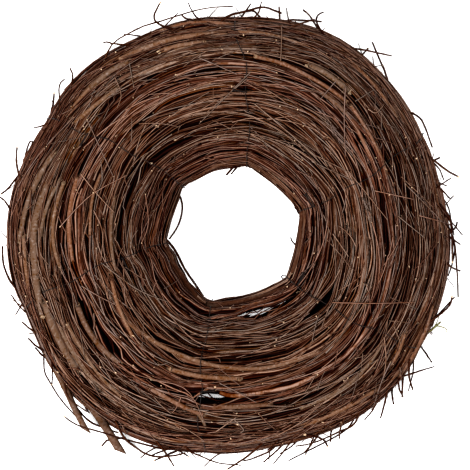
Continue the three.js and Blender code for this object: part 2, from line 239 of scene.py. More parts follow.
def bridges_a_parting(path):
    """Whether each twig runs across a wide parting, between its ends and above its bottom."""
    found = np.zeros(len(path), bool)
    for parting in WIDE:
        share, off = off_parting(path, parting)
        near = (share > 0.15) & (share < 0.85) & (np.abs(off) < WIDE_REACH)
        near &= path[..., 2] > parting.down_to + 4
        found |= (near[:, 1:] & near[:, :-1] & (off[:, 1:] * off[:, :-1] < 0)).any(axis=1)
    return found


def hides_the_ground(path):
    """Whether each twig lies in the middle of a parting that is open down to the ground."""
    hides = np.zeros(len(path), bool)
    between = np.arange(4)[:, None] / 4
    fine = path[:, :-1, None] * (1 - between) + path[:, 1:, None] * between
    for parting in WIDE:
        if parting.down_to == GROUND:
            share, off = off_parting(fine, parting)
            hides |= ((share > 0.3) & (share < 0.7) & (np.abs(off) < SEEN_GROUND)).any(axis=(1, 2))
    return hides


def place(angle, across, height, sheaves=(), partings=PARTINGS):
    """Bends the even ring to the wreath. across is measured from the middle of the band towards the rim."""
    out = way_out(across)
    hole, scale = band_at(angle)
    radius = hole + (across + HALF_BAND + wander(angle, across, sheaves)) * scale
    turn = np.radians(angle + WIRE_LEAN * (out - 0.5))
    near = np.maximum(0, 1 - (between_wires(angle)[1] / WIRE_LIFT.reach) ** 2)
    return part(np.stack([
        HOLE_MIDDLE[0] * (1 - out) + radius * np.cos(turn),
        HOLE_MIDDLE[1] * (1 - out) + radius * np.sin(turn),
        height * scale + WIRE_LIFT.height * near**2,
    ], -1), partings)


def unplace(x, y):
    """The angle and the distance across the even ring of a place seen from above."""
    across = np.zeros_like(x)
    for _ in range(8):
        out = way_out(across)
        dx, dy = x - HOLE_MIDDLE[0] * (1 - out), y - HOLE_MIDDLE[1] * (1 - out)
        angle = np.degrees(np.arctan2(dy, dx)) - WIRE_LEAN * (out - 0.5)
        hole, scale = band_at(angle)
        across = (np.hypot(dx, dy) - hole) / scale - HALF_BAND - wander(angle, across)
    return angle, across


def pull(angle, across):
    """1 at a wire, fading to 0 away from it."""
    gap = np.radians(between_wires(angle)[1]) * (HALF_BAND + HOLE_AT_WIRES + across)
    return np.exp(-((gap / WIRE_PULL) ** 2))


# The rows


def on_face(turn):
    """The middle of a row of the face in section, this far round a half ellipse."""
    rise = (TOP_LEVEL - FACE_LEVEL) / math.sqrt(1 - (ROW_PITCH / 2 / FACE_WIDTH) ** 2)
    return FACE_WIDTH * np.sin(turn), FACE_LEVEL + rise * np.cos(turn)


def face_rows():
    """The rows of the face lie on half an ellipse, each against the one before it."""
    small_turn = 0.0005
    turns = [math.asin(ROW_PITCH / 2 / FACE_WIDTH)]
    while len(turns) < 4:
        here = on_face(turns[-1])
        turn = turns[-1]
        while math.dist(on_face(turn), here) < ROW_PITCH:
            turn += small_turn
        turns.append(turn)
    rim_side = [on_face(turn) for turn in turns]
    return [(-x, z) for x, z in reversed(rim_side)] + rim_side


FACE_ROWS = [SimpleNamespace(x=float(x), z=float(z)) for x, z in face_rows()]
BACK_ROWS = [SimpleNamespace(x=n * ROW_PITCH, z=BACK_LEVEL) for n in (-1.5, -0.5, 0.5, 1.5)]
INNER_ROWS = [SimpleNamespace(x=n * ROW_PITCH, z=INNER_LEVEL) for n in (-0.5, 0.5)]
LOOP = FACE_ROWS + BACK_ROWS[::-1]


def direction(a, b):
    """The way from one row to another in section, in radians."""
    return math.atan2(b.z - a.z, b.x - a.x)


# Where the open side of each row starts in section, and how far round it goes to the next row
for n, row in enumerate(LOOP):
    before = direction(row, LOOP[n - 1])
    after = direction(row, LOOP[(n + 1) % len(LOOP)])
    row.start, row.arc = before, (before - after) % (2 * math.pi)
for row in INNER_ROWS:
    row.start, row.arc = 0, 2 * math.pi


def skin_line():
    """The outer line of the face in section, over the tops of the rows."""
    x, z = on_face(np.linspace(-np.pi / 2, np.pi / 2, 181))
    dx, dz = np.gradient(x), np.gradient(z)
    long = np.hypot(dx, dz)
    return x - ROW_RADIUS * dz / long, z + ROW_RADIUS * dx / long


SKIN_LINE = skin_line()


def skin_height(across):
    return np.interp(across, *SKIN_LINE)


# Sticks that the twigs are bent from


def nothing_selected():
    bpy.ops.object.select_all(action="DESELECT")


def select(stick, kind, chosen):
    """Selects the stick's edges or faces, in edit mode, that chosen picks."""
    bpy.ops.mesh.select_mode(type=kind)
    bpy.ops.mesh.select_all(action="DESELECT")
    mesh = bmesh.from_edit_mesh(stick.data)
    for item in mesh.edges if kind == "EDGE" else mesh.faces:
        item.select_set(chosen(item))
    bmesh.update_edit_mesh(stick.data)


def straight_stick(sides, steps, pith=False):
    """A straight stick along X, 1 long and 1 in radius, in even steps. A cane's ends show its pith."""
    nothing_selected()
    bpy.ops.mesh.primitive_cylinder_add(
        vertices=sides, radius=1, depth=1, end_fill_type="NGON",
        location=(0.5, 0, 0), rotation=(0, math.pi / 2, 0),
    )
    stick = bpy.context.object
    bpy.ops.object.transform_apply(location=True, rotation=True, scale=True)
    bpy.ops.object.mode_set(mode="EDIT")
    select(stick, "EDGE", lambda edge: abs(edge.verts[0].co.x - edge.verts[1].co.x) > 0.5)
    bpy.ops.mesh.subdivide(number_cuts=steps - 1)
    if pith:
        select(stick, "FACE", lambda face: abs(face.normal.x) > 0.9)
        bpy.ops.mesh.inset(thickness=0.35, use_individual=True)
    bpy.ops.object.mode_set(mode="OBJECT")
    shape = shape_of(stick.data, steps)
    bpy.data.objects.remove(stick)
    return shape


def shape_of(mesh, steps):
    """What bending a stick needs: where its points are along and across it, and how its faces unroll.

    Each corner of a face has its way round the stick, as a share of the girth, and the cell of the bark that
    the face unrolls to: there is a cell for each step, between the cells of the two ends.
    """
    points = np.array([vertex.co for vertex in mesh.vertices])
    ring = np.rint(points[:, 0] * steps).astype(int)
    sizes = np.array([len(face.vertices) for face in mesh.polygons])
    corners = np.array([corner for face in mesh.polygons for corner in face.vertices])
    face_of = np.repeat(np.arange(len(sizes)), sizes)
    is_end = np.array([abs(face.normal.x) > 0.9 for face in mesh.polygons])
    turn = np.arctan2(points[corners, 2], points[corners, 1]) / (2 * np.pi)
    middle = np.array([math.atan2(face.center.z, face.center.y) for face in mesh.polygons]) / (2 * np.pi)
    first = np.minimum.reduceat(ring[corners], np.r_[0, np.cumsum(sizes)[:-1]])
    return SimpleNamespace(
        steps=steps, points=points, ring=ring, sizes=sizes, corners=corners, is_end=is_end,
        corner_ring=ring[corners], at_end=is_end[face_of],
        around=middle[face_of] + (turn - middle[face_of] + 0.5) % 1,
        cell=np.where(is_end, np.where(first == 0, 0, steps + 1), first + 1)[face_of],
        further=ring[corners] - first[face_of],
    )


THIN_TWIG = straight_stick(5, STEPS)
THICK_TWIG = straight_stick(8, STEPS)
HIDDEN_TWIG = straight_stick(4, 15)
SHORT_TWIG = straight_stick(5, 8)
RIM_TWIG = straight_stick(5, 16)
CANE = straight_stick(10, STEPS, pith=True)


def unit(vector):
    return vector / np.linalg.norm(vector, axis=-1, keepdims=True)


def bend(shape, path, radius, slope, outward, sideways):
    """A copy of the stick along each path. slope is how slantwise its ends are cut, upwards or sideways."""
    along = unit(np.gradient(path, axis=1))
    up = unit(outward - along * (outward * along).sum(axis=2, keepdims=True))
    side = np.cross(up, along)
    ring, (_, y, z) = shape.ring, shape.points.T
    slant = np.where(ring == 0, slope[:, :1], np.where(ring == shape.steps, -slope[:, 1:], 0))
    cut = slant * (y if sideways else z)
    return path[:, ring] + radius[:, ring, None] * (
        side[:, ring] * y[None, :, None] + up[:, ring] * z[None, :, None] + along[:, ring] * cut[..., None]
    )


class Heap:
    """The twigs of one piece, as they are laid."""

    def __init__(self, seed):
        self.draw = np.random.default_rng(seed)
        self.parts = []

    def lay(
        self, shape, path, radius, tone, outward=(0, 0, 1), inside=0.0, keep=None, smooth=0.0, taper=0.35,
        uneven=0.05, fresh=0.45, slope=None, sideways=False,
    ):
        """Lays a twig along each path, (twigs, steps + 1, 3), or only along those that keep picks.

        tone picks the bark's colour from dark to pale. inside is how far painted shade darkens it. smooth
        is 1 for a cane, whose bark has few streaks. fresh is the share of the twigs that show pale wood at
        their ends, and slope is how slantwise these are cut.
        """
        count, rings = path.shape[:2]
        given = [path, np.broadcast_to(radius, count), np.broadcast_to(tone, count)]
        given += [np.broadcast_to(outward, path.shape), np.broadcast_to(inside, (count, rings))]
        path, radius, tone, outward, inside = given if keep is None else (values[keep] for values in given)
        count, draw = len(path), self.draw
        if not count:
            return
        thick = radius[:, None] * (1 - taper * np.linspace(0, 1, rings))
        thick = thick * (1 + uneven * draw.normal(size=(count, rings)))
        knots = draw.random((count, rings)) < KNOTS.share
        thick = thick * np.where(knots, 1 + KNOTS.swell * draw.random((count, rings)), 1)
        if slope is None:
            slanted = draw.random((count, 2)) < SLANT_CUTS.share
            slope = np.where(slanted, draw.uniform(*SLANT_CUTS.slope, (count, 2)), 0)
        steps = np.linalg.norm(np.diff(path, axis=1), axis=2)
        run = np.c_[np.zeros(count), np.cumsum(steps, axis=1)] + draw.uniform(0, BARK_LENGTH, count)[:, None]
        along = run[:, shape.corner_ring]
        cut = np.where(draw.random(count) < fresh, 1, draw.uniform(*WEATHERED_CUT, count))
        size = (count, len(shape.points))
        self.parts.append(SimpleNamespace(
            shape=shape,
            points=bend(shape, path, thick, slope, outward, sideways),
            steps=steps,
            girth=2 * np.pi * thick.mean(axis=1),
            bark_run=np.stack([along, np.broadcast_to(shape.around, along.shape)], -1),
            tone=np.broadcast_to(tone[:, None], size),
            smooth=np.full(size, smooth),
            inside=inside[:, shape.ring],
            fresh=cut[:, None] * shape.is_end,
        ))

    def gather(self, name):
        """One kind of value for all the twigs, in the order of the mesh."""
        return np.concatenate([getattr(laid, name).ravel() for laid in self.parts])

    def piece(self, node):
        """Makes one mesh of the twigs, which takes the place of the frame's node."""
        corners, below = [], 0
        for laid in self.parts:
            count, per_twig = laid.points.shape[:2]
            corners.append((below + per_twig * np.arange(count)[:, None] + laid.shape.corners).ravel())
            below += count * per_twig
        corners = np.concatenate(corners)
        sizes = np.concatenate([np.tile(laid.shape.sizes, len(laid.points)) for laid in self.parts])
        mesh = bpy.data.meshes.new(f"twigs_{node}")
        mesh.vertices.add(below)
        mesh.vertices.foreach_set("co", self.gather("points") * METRES)
        mesh.loops.add(len(corners))
        mesh.loops.foreach_set("vertex_index", corners)
        mesh.polygons.add(len(sizes))
        mesh.polygons.foreach_set("loop_start", np.r_[0, np.cumsum(sizes)[:-1]])
        mesh.update(calc_edges=True)
        mesh.polygons.foreach_set("use_smooth", self.gather("fresh") == 0)
        for name, domain in (("tone", "POINT"), ("smooth", "POINT"), ("inside", "POINT"), ("fresh", "FACE")):
            values = mesh.attributes.new(name, "FLOAT", domain)
            values.data.foreach_set("value", self.gather(name).astype(np.float32))
        run = mesh.uv_layers.new(name="BarkRun")
        run.data.foreach_set("uv", self.gather("bark_run").astype(np.float32))
        unrolled = mesh.uv_layers.new(name="OFBake")
        unrolled.data.foreach_set("uv", unroll(self.parts).astype(np.float32).ravel())
        run.active = run.active_render = True
        mesh.materials.append(BARKS[SLOTS[node]])
        piece = bpy.data.objects.new(mesh.name, mesh)
        bpy.context.collection.objects.link(piece)
        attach(piece, "root")
        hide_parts(node)


def unroll(parts):
    """Places the twigs' bark side by side on a square sheet, running on from one line to the next."""
    gap, spare, end_radius = 0.6, 1.02, 0.45
    cells = [np.c_[p.girth, p.steps, p.girth] for p in parts]
    area = sum(((c.sum(axis=1) + gap) * (p.girth + gap)).sum() for c, p in zip(cells, parts))
    side = spare * math.sqrt(area)
    spots = [np.zeros(c.shape + (2,)) for c in cells]
    girths = [(p.girth[i], k, i) for k, p in enumerate(parts) for i in range(len(p.girth))]
    order = sorted(girths, reverse=True)
    x = y = 0.0
    line = order[0][0] + gap
    for girth, k, i in order:
        for j, wide in enumerate(cells[k][i]):
            if x + wide > side:
                x, y, line = 0.0, y + line, girth + gap
            spots[k][i, j] = x, y
            x += wide
        x += gap
    side = max(side, y + line)
    sheets = []
    for p, cell, spot in zip(parts, cells, spots):
        shape, girth = p.shape, p.girth[:, None]
        across, up = shape.points[shape.corners, 1:].T * end_radius + 0.5
        u = np.where(shape.at_end, across * girth, shape.further * cell[:, shape.cell])
        v = np.where(shape.at_end, up * girth, shape.around * girth)
        sheets.append(((spot[:, shape.cell] + np.stack([u, v], -1)) / side).reshape(-1, 2))
    return np.concatenate(sheets)


# Paths


def waves(draw, rings, length, wavelength, reach):
    """Smooth uneven curves, one a twig, of about the given reach."""
    t = np.linspace(0, 1, rings)
    total = np.zeros((len(length), rings))
    for share in (0.7, 0.4):
        turns = (length / draw.uniform(*wavelength, len(length)) * (1.6 - share))[:, None]
        start = draw.uniform(0, 2 * np.pi, len(length))[:, None]
        total += share * np.sin(2 * np.pi * turns * t + start)
    return total * np.reshape(reach, (-1, 1))


def ends(draw, count, rings, tucked, proud, share_proud):
    """How much deeper the two ends of each twig lie: most are tucked in, some stand proud."""
    t = np.linspace(0, 1, rings)
    depth = np.zeros((count, rings))
    for near in (1 - t, t):
        stands = draw.random(count) < share_proud
        by = np.where(stands, -draw.uniform(*proud, count), draw.uniform(*tucked, count))
        depth += by[:, None] * near ** draw.uniform(6, 16, count)[:, None]
    return depth


def ring_length(at):
    """The length round the ring of a row or a seam."""
    return 2 * np.pi * (HOLE_AT_WIRES + HALF_BAND + at.x)


def end_to_end(draw, lanes, at, lengths, missing):
    """Twigs laid end to end round the ring, or overlapping a little, lane by lane.

    Gives the lane, start, span and length of each.
    """
    made = []
    for lane in range(lanes):
        start = draw.uniform(0, 360)
        last = start + 360
        while start < last:
            span = draw.uniform(*lengths) / ring_length(at) * 360
            if draw.random() > missing:
                made.append((lane, start, span) if draw.random() < 0.5 else (lane, start + span, -span))
            start += span * draw.uniform(0.88, 1.0)
    lane, start, span = np.array(made).T
    return lane.astype(int), start, span, np.abs(span) / 360 * ring_length(at)


def round_row(row, angle, turn, depth, radius):
    """Paths round a row, and where the painted lit side of their twigs faces: outwards, and at the rim
    upwards as well.
    """
    out = (ROW_RADIUS - depth) * (1 - (1 - WIRE_BITE) * 1.5 * pull(angle, row.x))
    height = np.maximum(row.z + out * np.sin(turn), LOWEST * radius[:, None])
    paths = place(angle, row.x + out * np.cos(turn), height, SHEAVES)
    outward = unit(paths - place(angle, row.x, row.z, SHEAVES))
    return paths, outward + np.array([0, 0, LIT_SIDE_UP if row in FACE_ROWS and row.x > 0 else 0])


def twig_radii(draw, count, thick_share):
    """Most twigs are thin; thick_share of them are thick."""
    radius = draw.uniform(*TWIG_RADII.thin, count)
    medium = draw.random(count) < TWIG_RADII.medium_share
    radius[medium] = draw.uniform(*TWIG_RADII.medium, medium.sum())
    thick = draw.random(count) < thick_share
    radius[thick] = draw.uniform(*TWIG_RADII.thick, thick.sum())
    return radius


def shaded(depth):
    """How much painted shade darkens the bark at a depth under the skin, 0 to 1."""
    return np.clip((depth + 0.2) / 2.4, 0, 1)


def spared(draw, paths):
    """Which twigs are laid: few of those that run across a wide parting are."""
    return ~bridges_a_parting(paths) | (draw.random(len(paths)) < BRIDGES_LEFT)


# The layers of a row: how deep they lie under its skin, how far apart their lanes are, which share of the
# twigs is missing, oblique or proud at the ends, and how far they drift, stray, sway, sink, heave and bend
SKIN = SimpleNamespace(
    hidden=False, depth=0, lane=1.7, missing=0.04, oblique=0.35, proud=0.3, drift=1.6, stray=7.5, sway=0.6,
    sinks=1.5, heave=0.3, kink=0.05,
)


def hidden_layer(depth, lane, radii):
    """Coarse twigs that show only through the gaps of those over them."""
    return SimpleNamespace(
        hidden=True, depth=depth, lane=lane, radii=radii, missing=0, oblique=0.2, proud=0, drift=1.5,
        stray=5, sway=0.6, sinks=0.8, heave=0.4, kink=0.05,
    )


UNDER_SKIN = (hidden_layer(2.7, 3.2, (1.2, 1.9)), hidden_layer(5.6, 5.4, (2.4, 3.1)))
INNER_LAYERS = (hidden_layer(0.5, 4.5, (1.8, 2.6)), hidden_layer(5.0, 5.4, (2.4, 3.1)))
SKIN_OVERLAP = 1.06  # the skin reaches a little past where a row touches the next


def wind_layer(heap, row, layer, lengths, thick_share=0):
    """One layer of twigs round a row. The skin covers its open side and a hidden layer goes all round it."""
    draw = heap.draw
    arc = 2 * math.pi if layer.hidden else row.arc
    lanes = round(arc * (ROW_RADIUS - layer.depth) / layer.lane)
    lane, start, span, length = end_to_end(draw, lanes, row, lengths, layer.missing)
    count = len(lane)
    radius = draw.uniform(*layer.radii, count) if layer.hidden else twig_radii(draw, count, thick_share)
    turn = row.start - (lane + 0.5 + draw.uniform(-0.35, 0.35, count)) / lanes * arc
    rings = (HIDDEN_TWIG.steps if layer.hidden else STEPS) + 1
    t = np.linspace(0, 1, rings)
    oblique = draw.random(count) < layer.oblique
    drift = draw.normal(0, np.where(oblique, layer.stray, layer.drift), count)
    sway = waves(draw, rings, length, (70, 190), draw.uniform(0.3, 1, count) * layer.sway)
    sway = sway + draw.normal(0, layer.kink, (count, rings))
    turn = turn[:, None] - (drift[:, None] * (t - 0.5) + sway) / ROW_RADIUS
    if not layer.hidden:
        half = SKIN_OVERLAP * arc / 2
        turn = row.start - arc / 2 + np.clip(turn - row.start + arc / 2, -half, half)
    depth = layer.depth + np.maximum(radius, 0.8) + draw.uniform(0, layer.sinks, count)
    depth = depth - np.where(oblique, 0.5, 0)
    depth = depth[:, None] + waves(draw, rings, length, (60, 160), layer.heave)
    depth = depth + ends(draw, count, rings, (0.5, 2.5), (0.2, 1.2), layer.proud)
    depth = depth + draw.normal(0, layer.kink, (count, rings))
    paths, outward = round_row(row, start[:, None] + span[:, None] * t, turn, depth, radius)
    tone, inside = draw.beta(2, 2, count), shaded(depth - radius[:, None])
    thick = radius >= ROUNDER
    tone = np.where(thick, 0.15 + 0.6 * tone, tone)
    if layer.hidden:
        # Hidden twigs take only the darker tones, painted shade on top of that of inside
        heap.lay(HIDDEN_TWIG, paths, radius, 0.4 * tone, outward, inside, keep=~hides_the_ground(paths))
    else:
        keep = spared(draw, paths)
        heap.lay(THIN_TWIG, paths, radius, tone, outward, inside, keep=keep & ~thick)
        heap.lay(THICK_TWIG, paths, radius, tone, outward, inside, keep=keep & thick)


def wind_row(heap, row, thick_share):
    """A row of the face or the back: its skin where it shows, and the layers under it."""
    longest = min(400, 0.55 * ring_length(row))
    for layer in (SKIN, *UNDER_SKIN):
        wind_layer(heap, row, layer, (0.3 * longest, longest), thick_share)


def seam_between(row, other):
    """Where two rows touch in section: the place, the way over to the other row and the way across that."""
    over = np.array([other.x - row.x, other.z - row.z]) / math.hypot(other.x - row.x, other.z - row.z)
    return SimpleNamespace(
        x=(row.x + other.x) / 2, z=(row.z + other.z) / 2, over=over, out=np.array([-over[1], over[0]]),
    )


def beside(seam, over, out):
    """The place in section that lies this far over from a seam and out of it."""
    return [middle + over * a + out * b for middle, a, b in zip((seam.x, seam.z), seam.over, seam.out)]


# The twigs in the grooves between rows: the lanes they lie in, over from the seam and out of it, and how far
# they drift, sway, stand off, heave and bend
VALLEY = SimpleNamespace(
    lanes=(
        (-5, 8.6), (-3.2, 7.8), (-1.5, 7.2), (0, 7), (1.5, 7.2), (3.2, 7.8), (5, 8.6),
        (-1.6, 4.8), (1.6, 4.8),
    ),
    missing=0.04, thick_share=0.03, drift=2.2, sway=0.6, off=0.6, heave=0.4, kink=0.05, top=8.8,
)
SEAM_LANES = ((-1.6, 0.6), (1.6, -0.6), (0.4, 3.4), (-0.4, -3.4))


def fill_valley(heap, row, other):
    """Twigs that lie in the groove between two rows, so that the two run into one another."""
    draw, rings = heap.draw, STEPS + 1
    seam = seam_between(row, other)
    if seam.out @ (seam.x, seam.z - INNER_LEVEL) < 0:
        seam.out = -seam.out
    longest = min(360, 0.5 * ring_length(seam))
    lengths = (0.3 * longest, longest)
    lane, start, span, length = end_to_end(draw, len(VALLEY.lanes), seam, lengths, VALLEY.missing)
    count = len(lane)
    over, out = np.array(VALLEY.lanes)[lane].T[..., None]
    t = np.linspace(-0.5, 0.5, rings)
    radius = twig_radii(draw, count, VALLEY.thick_share)
    over = over + draw.normal(0, VALLEY.drift, count)[:, None] * t
    over = over + waves(draw, rings, length, (80, 200), VALLEY.sway)
    out = out + draw.normal(0, VALLEY.off, count)[:, None]
    out = out + waves(draw, rings, length, (80, 200), VALLEY.heave)
    out = out - ends(draw, count, rings, (0.5, 2.5), (0.2, 1.0), 0.25)
    angle = start[:, None] + span[:, None] * (t + 0.5)
    out = out * (1 - 0.6 * pull(angle, seam.x)) - radius[:, None] * 0.3
    out = out + draw.normal(0, VALLEY.kink, (count, rings))
    x, z = beside(seam, over, out)
    paths = place(angle, x, np.maximum(z, LOWEST * radius[:, None]), SHEAVES)
    outward = paths - place(angle, seam.x, seam.z, SHEAVES)
    keep = spared(draw, paths)
    tone, inside = draw.beta(2, 2, count), shaded(VALLEY.top - out - radius[:, None])
    heap.lay(THIN_TWIG, paths, radius, tone, outward, inside, keep=keep)


def plug_seam(heap, row, other):
    """Twigs hidden where two rows touch, so that no light comes through between them."""
    draw, seam = heap.draw, seam_between(row, other)
    lane, start, span, _ = end_to_end(draw, len(SEAM_LANES), seam, (150, 300), 0)
    angle = start[:, None] + span[:, None] * np.linspace(0, 1, HIDDEN_TWIG.steps + 1)
    x, z = beside(seam, *np.array(SEAM_LANES)[lane].T[..., None])
    paths = place(angle, x + 0 * angle, z + 0 * angle, SHEAVES)
    paths = paths[~hides_the_ground(paths)]
    radius, tone = draw.uniform(1.3, 1.8, len(paths)), draw.beta(2, 2, len(paths))
    heap.lay(HIDDEN_TWIG, paths, radius, tone, inside=1.0, taper=0.1)


def over_face(angle, across, above):
    """Paths on top of the face, which sink to the twigs under a wire."""
    sunk = (1 - WIRE_BITE) * ROW_RADIUS * 2.4 * pull(angle, across)
    return place(angle, across, skin_height(across) + above - sunk, partings=WIDE)


def out_of_face(angle, across):
    """Which way is out of the face: it leans towards the rim or the hole at the sides."""
    return place(angle, across, skin_height(across)) - place(angle, 0.8 * across, skin_height(across) - 10)


def on_band(across, past):
    """Keeps places within the face's outer rows, and up to this share of their radius past their middle."""
    limit = FACE_WIDTH + past * ROW_RADIUS
    return np.clip(across, -limit, limit)


# Twigs that lie loose on the face: how long they are, how far they stray across it, and their tone
SHORT_STRAYS = SimpleNamespace(length=(40, 120), stray=(5, 18), tone=(0.15, 0.9))
LONG_STRAYS = SimpleNamespace(length=(60, 240), stray=(3, 24), tone=(0.2, 0.95))
STRAY_RADIUS = (0.45, 0.85)
SAG = 2.2  # how far they sink into the grooves between the rows

# Short thin ends, cut ends that point up, and fine ends all round the rim. They start deep under the skin,
# and the first two rise by so much.
SCRAPS = SimpleNamespace(
    length=(7, 34), heading=24, bow=1, radius=(0.35, 0.7), tone=(0.35, 1), deep=2.5, rise=(2, 5.5),
)
STUBS = SimpleNamespace(length=(2, 6), lean=2, radius=(0.55, 1), tone=(0.2, 0.8), deep=3.5, rise=(3.6, 5.2))
FUZZ = SimpleNamespace(
    length=(5, 17), heading=(8, 65), up=(-25, 60), radius=(0.35, 0.65), tone=(0, 0.6), deep=4,
)


def lay_wanderers(heap, row, count, kind):
    """Twigs that stray from one row to another, on top of them."""
    draw, rings = heap.draw, STEPS + 1
    t = np.linspace(-0.5, 0.5, rings)
    radius = draw.uniform(*STRAY_RADIUS, count)
    length = draw.uniform(*kind.length, count)
    span = length / ring_length(row) * 360 * draw.choice([-1, 1], count)
    across = row.x + draw.uniform(-0.5, 0.5, count) * ROW_PITCH
    stray = draw.uniform(*kind.stray, count) * draw.choice([-1, 1], count)
    across = on_band(across[:, None] + stray[:, None] * t, 0.5)
    across = across + waves(draw, rings, length, (90, 240), 0.8)
    across = across + draw.normal(0, 0.04, (count, rings))
    angle = draw.uniform(0, 360, count)[:, None] + span[:, None] * t
    above = -0.6 - SAG * (0.5 - 0.5 * np.cos(2 * np.pi * (across - row.x) / ROW_PITCH))
    above = above - ends(draw, count, rings, (1.5, 4), (0.3, 2), 0.35)
    paths = over_face(angle, across, above + radius[:, None] * 0.5)
    keep = spared(draw, paths)
    tone = draw.uniform(*kind.tone, count)
    heap.lay(THIN_TWIG, paths, radius, tone, out_of_face(angle, across), keep=keep)


def lay_scraps(heap, row, count):
    """Short thin ends that stand up out of the face in all directions."""
    draw, rings = heap.draw, SHORT_TWIG.steps + 1
    t = np.linspace(0, 1, rings)
    length = draw.uniform(*SCRAPS.length, count)
    heading = np.radians(draw.normal(0, SCRAPS.heading, count))
    heading = heading + np.where(draw.random(count) < 0.5, np.pi, 0)
    span = length * np.cos(heading) / ring_length(row) * 360
    angle = draw.uniform(0, 360, count)[:, None] + span[:, None] * t
    across = row.x + draw.uniform(-0.5, 0.5, count) * ROW_PITCH
    bow = draw.normal(0, SCRAPS.bow, count)[:, None] * np.sin(np.pi * t)
    bow = bow + draw.normal(0, 0.05, (count, rings))
    across = on_band(across[:, None] + (length * np.sin(heading))[:, None] * t + bow, 0.7)
    above = -SCRAPS.deep + draw.uniform(*SCRAPS.rise, count)[:, None] * t**0.7
    paths = over_face(angle, across, above)
    radius, tone = draw.uniform(*SCRAPS.radius, count), draw.uniform(*SCRAPS.tone, count)
    keep = ~bridges_a_parting(paths)
    heap.lay(SHORT_TWIG, paths, radius, tone, out_of_face(angle, across), keep=keep, taper=0.5)


def lay_stubs(heap, row, count):
    """Short cut ends that point up out of the face and show their pale wood."""
    draw = heap.draw
    t = np.linspace(0, 1, SHORT_TWIG.steps + 1)
    span = draw.uniform(*STUBS.length, count) * draw.choice([-1, 1], count) / ring_length(row) * 360
    angle = draw.uniform(0, 360, count)[:, None] + span[:, None] * t
    across = row.x + draw.uniform(-0.5, 0.5, count)[:, None] * ROW_PITCH
    across = across + draw.uniform(-STUBS.lean, STUBS.lean, count)[:, None] * t
    paths = over_face(angle, across, -STUBS.deep + draw.uniform(*STUBS.rise, count)[:, None] * t)
    radius, tone = draw.uniform(*STUBS.radius, count), draw.uniform(*STUBS.tone, count)
    straight = np.zeros((count, 2))
    heap.lay(SHORT_TWIG, paths, radius, tone, out_of_face(angle, across), slope=straight, taper=0.1, fresh=1)


# Places read off the picture, in its pixels


def smooth_line(points, rings, rounding=2):
    """Evenly spaced points on a line with its corners cut."""
    line = np.array(points, float)
    for _ in range(rounding):
        if len(line) > 2:
            before, after = line[:-1], line[1:]
            cut = np.stack([0.75 * before + 0.25 * after, 0.25 * before + 0.75 * after], 1)
            line = np.concatenate([line[:1], cut.reshape(-1, line.shape[1])[1:-1], line[-1:]])
    run = np.r_[0, np.cumsum(np.linalg.norm(np.diff(line, axis=0), axis=1))]
    even = np.linspace(0, run[-1], rings)
    return np.stack([np.interp(even, run, line[:, k]) for k in range(line.shape[1])], 1)


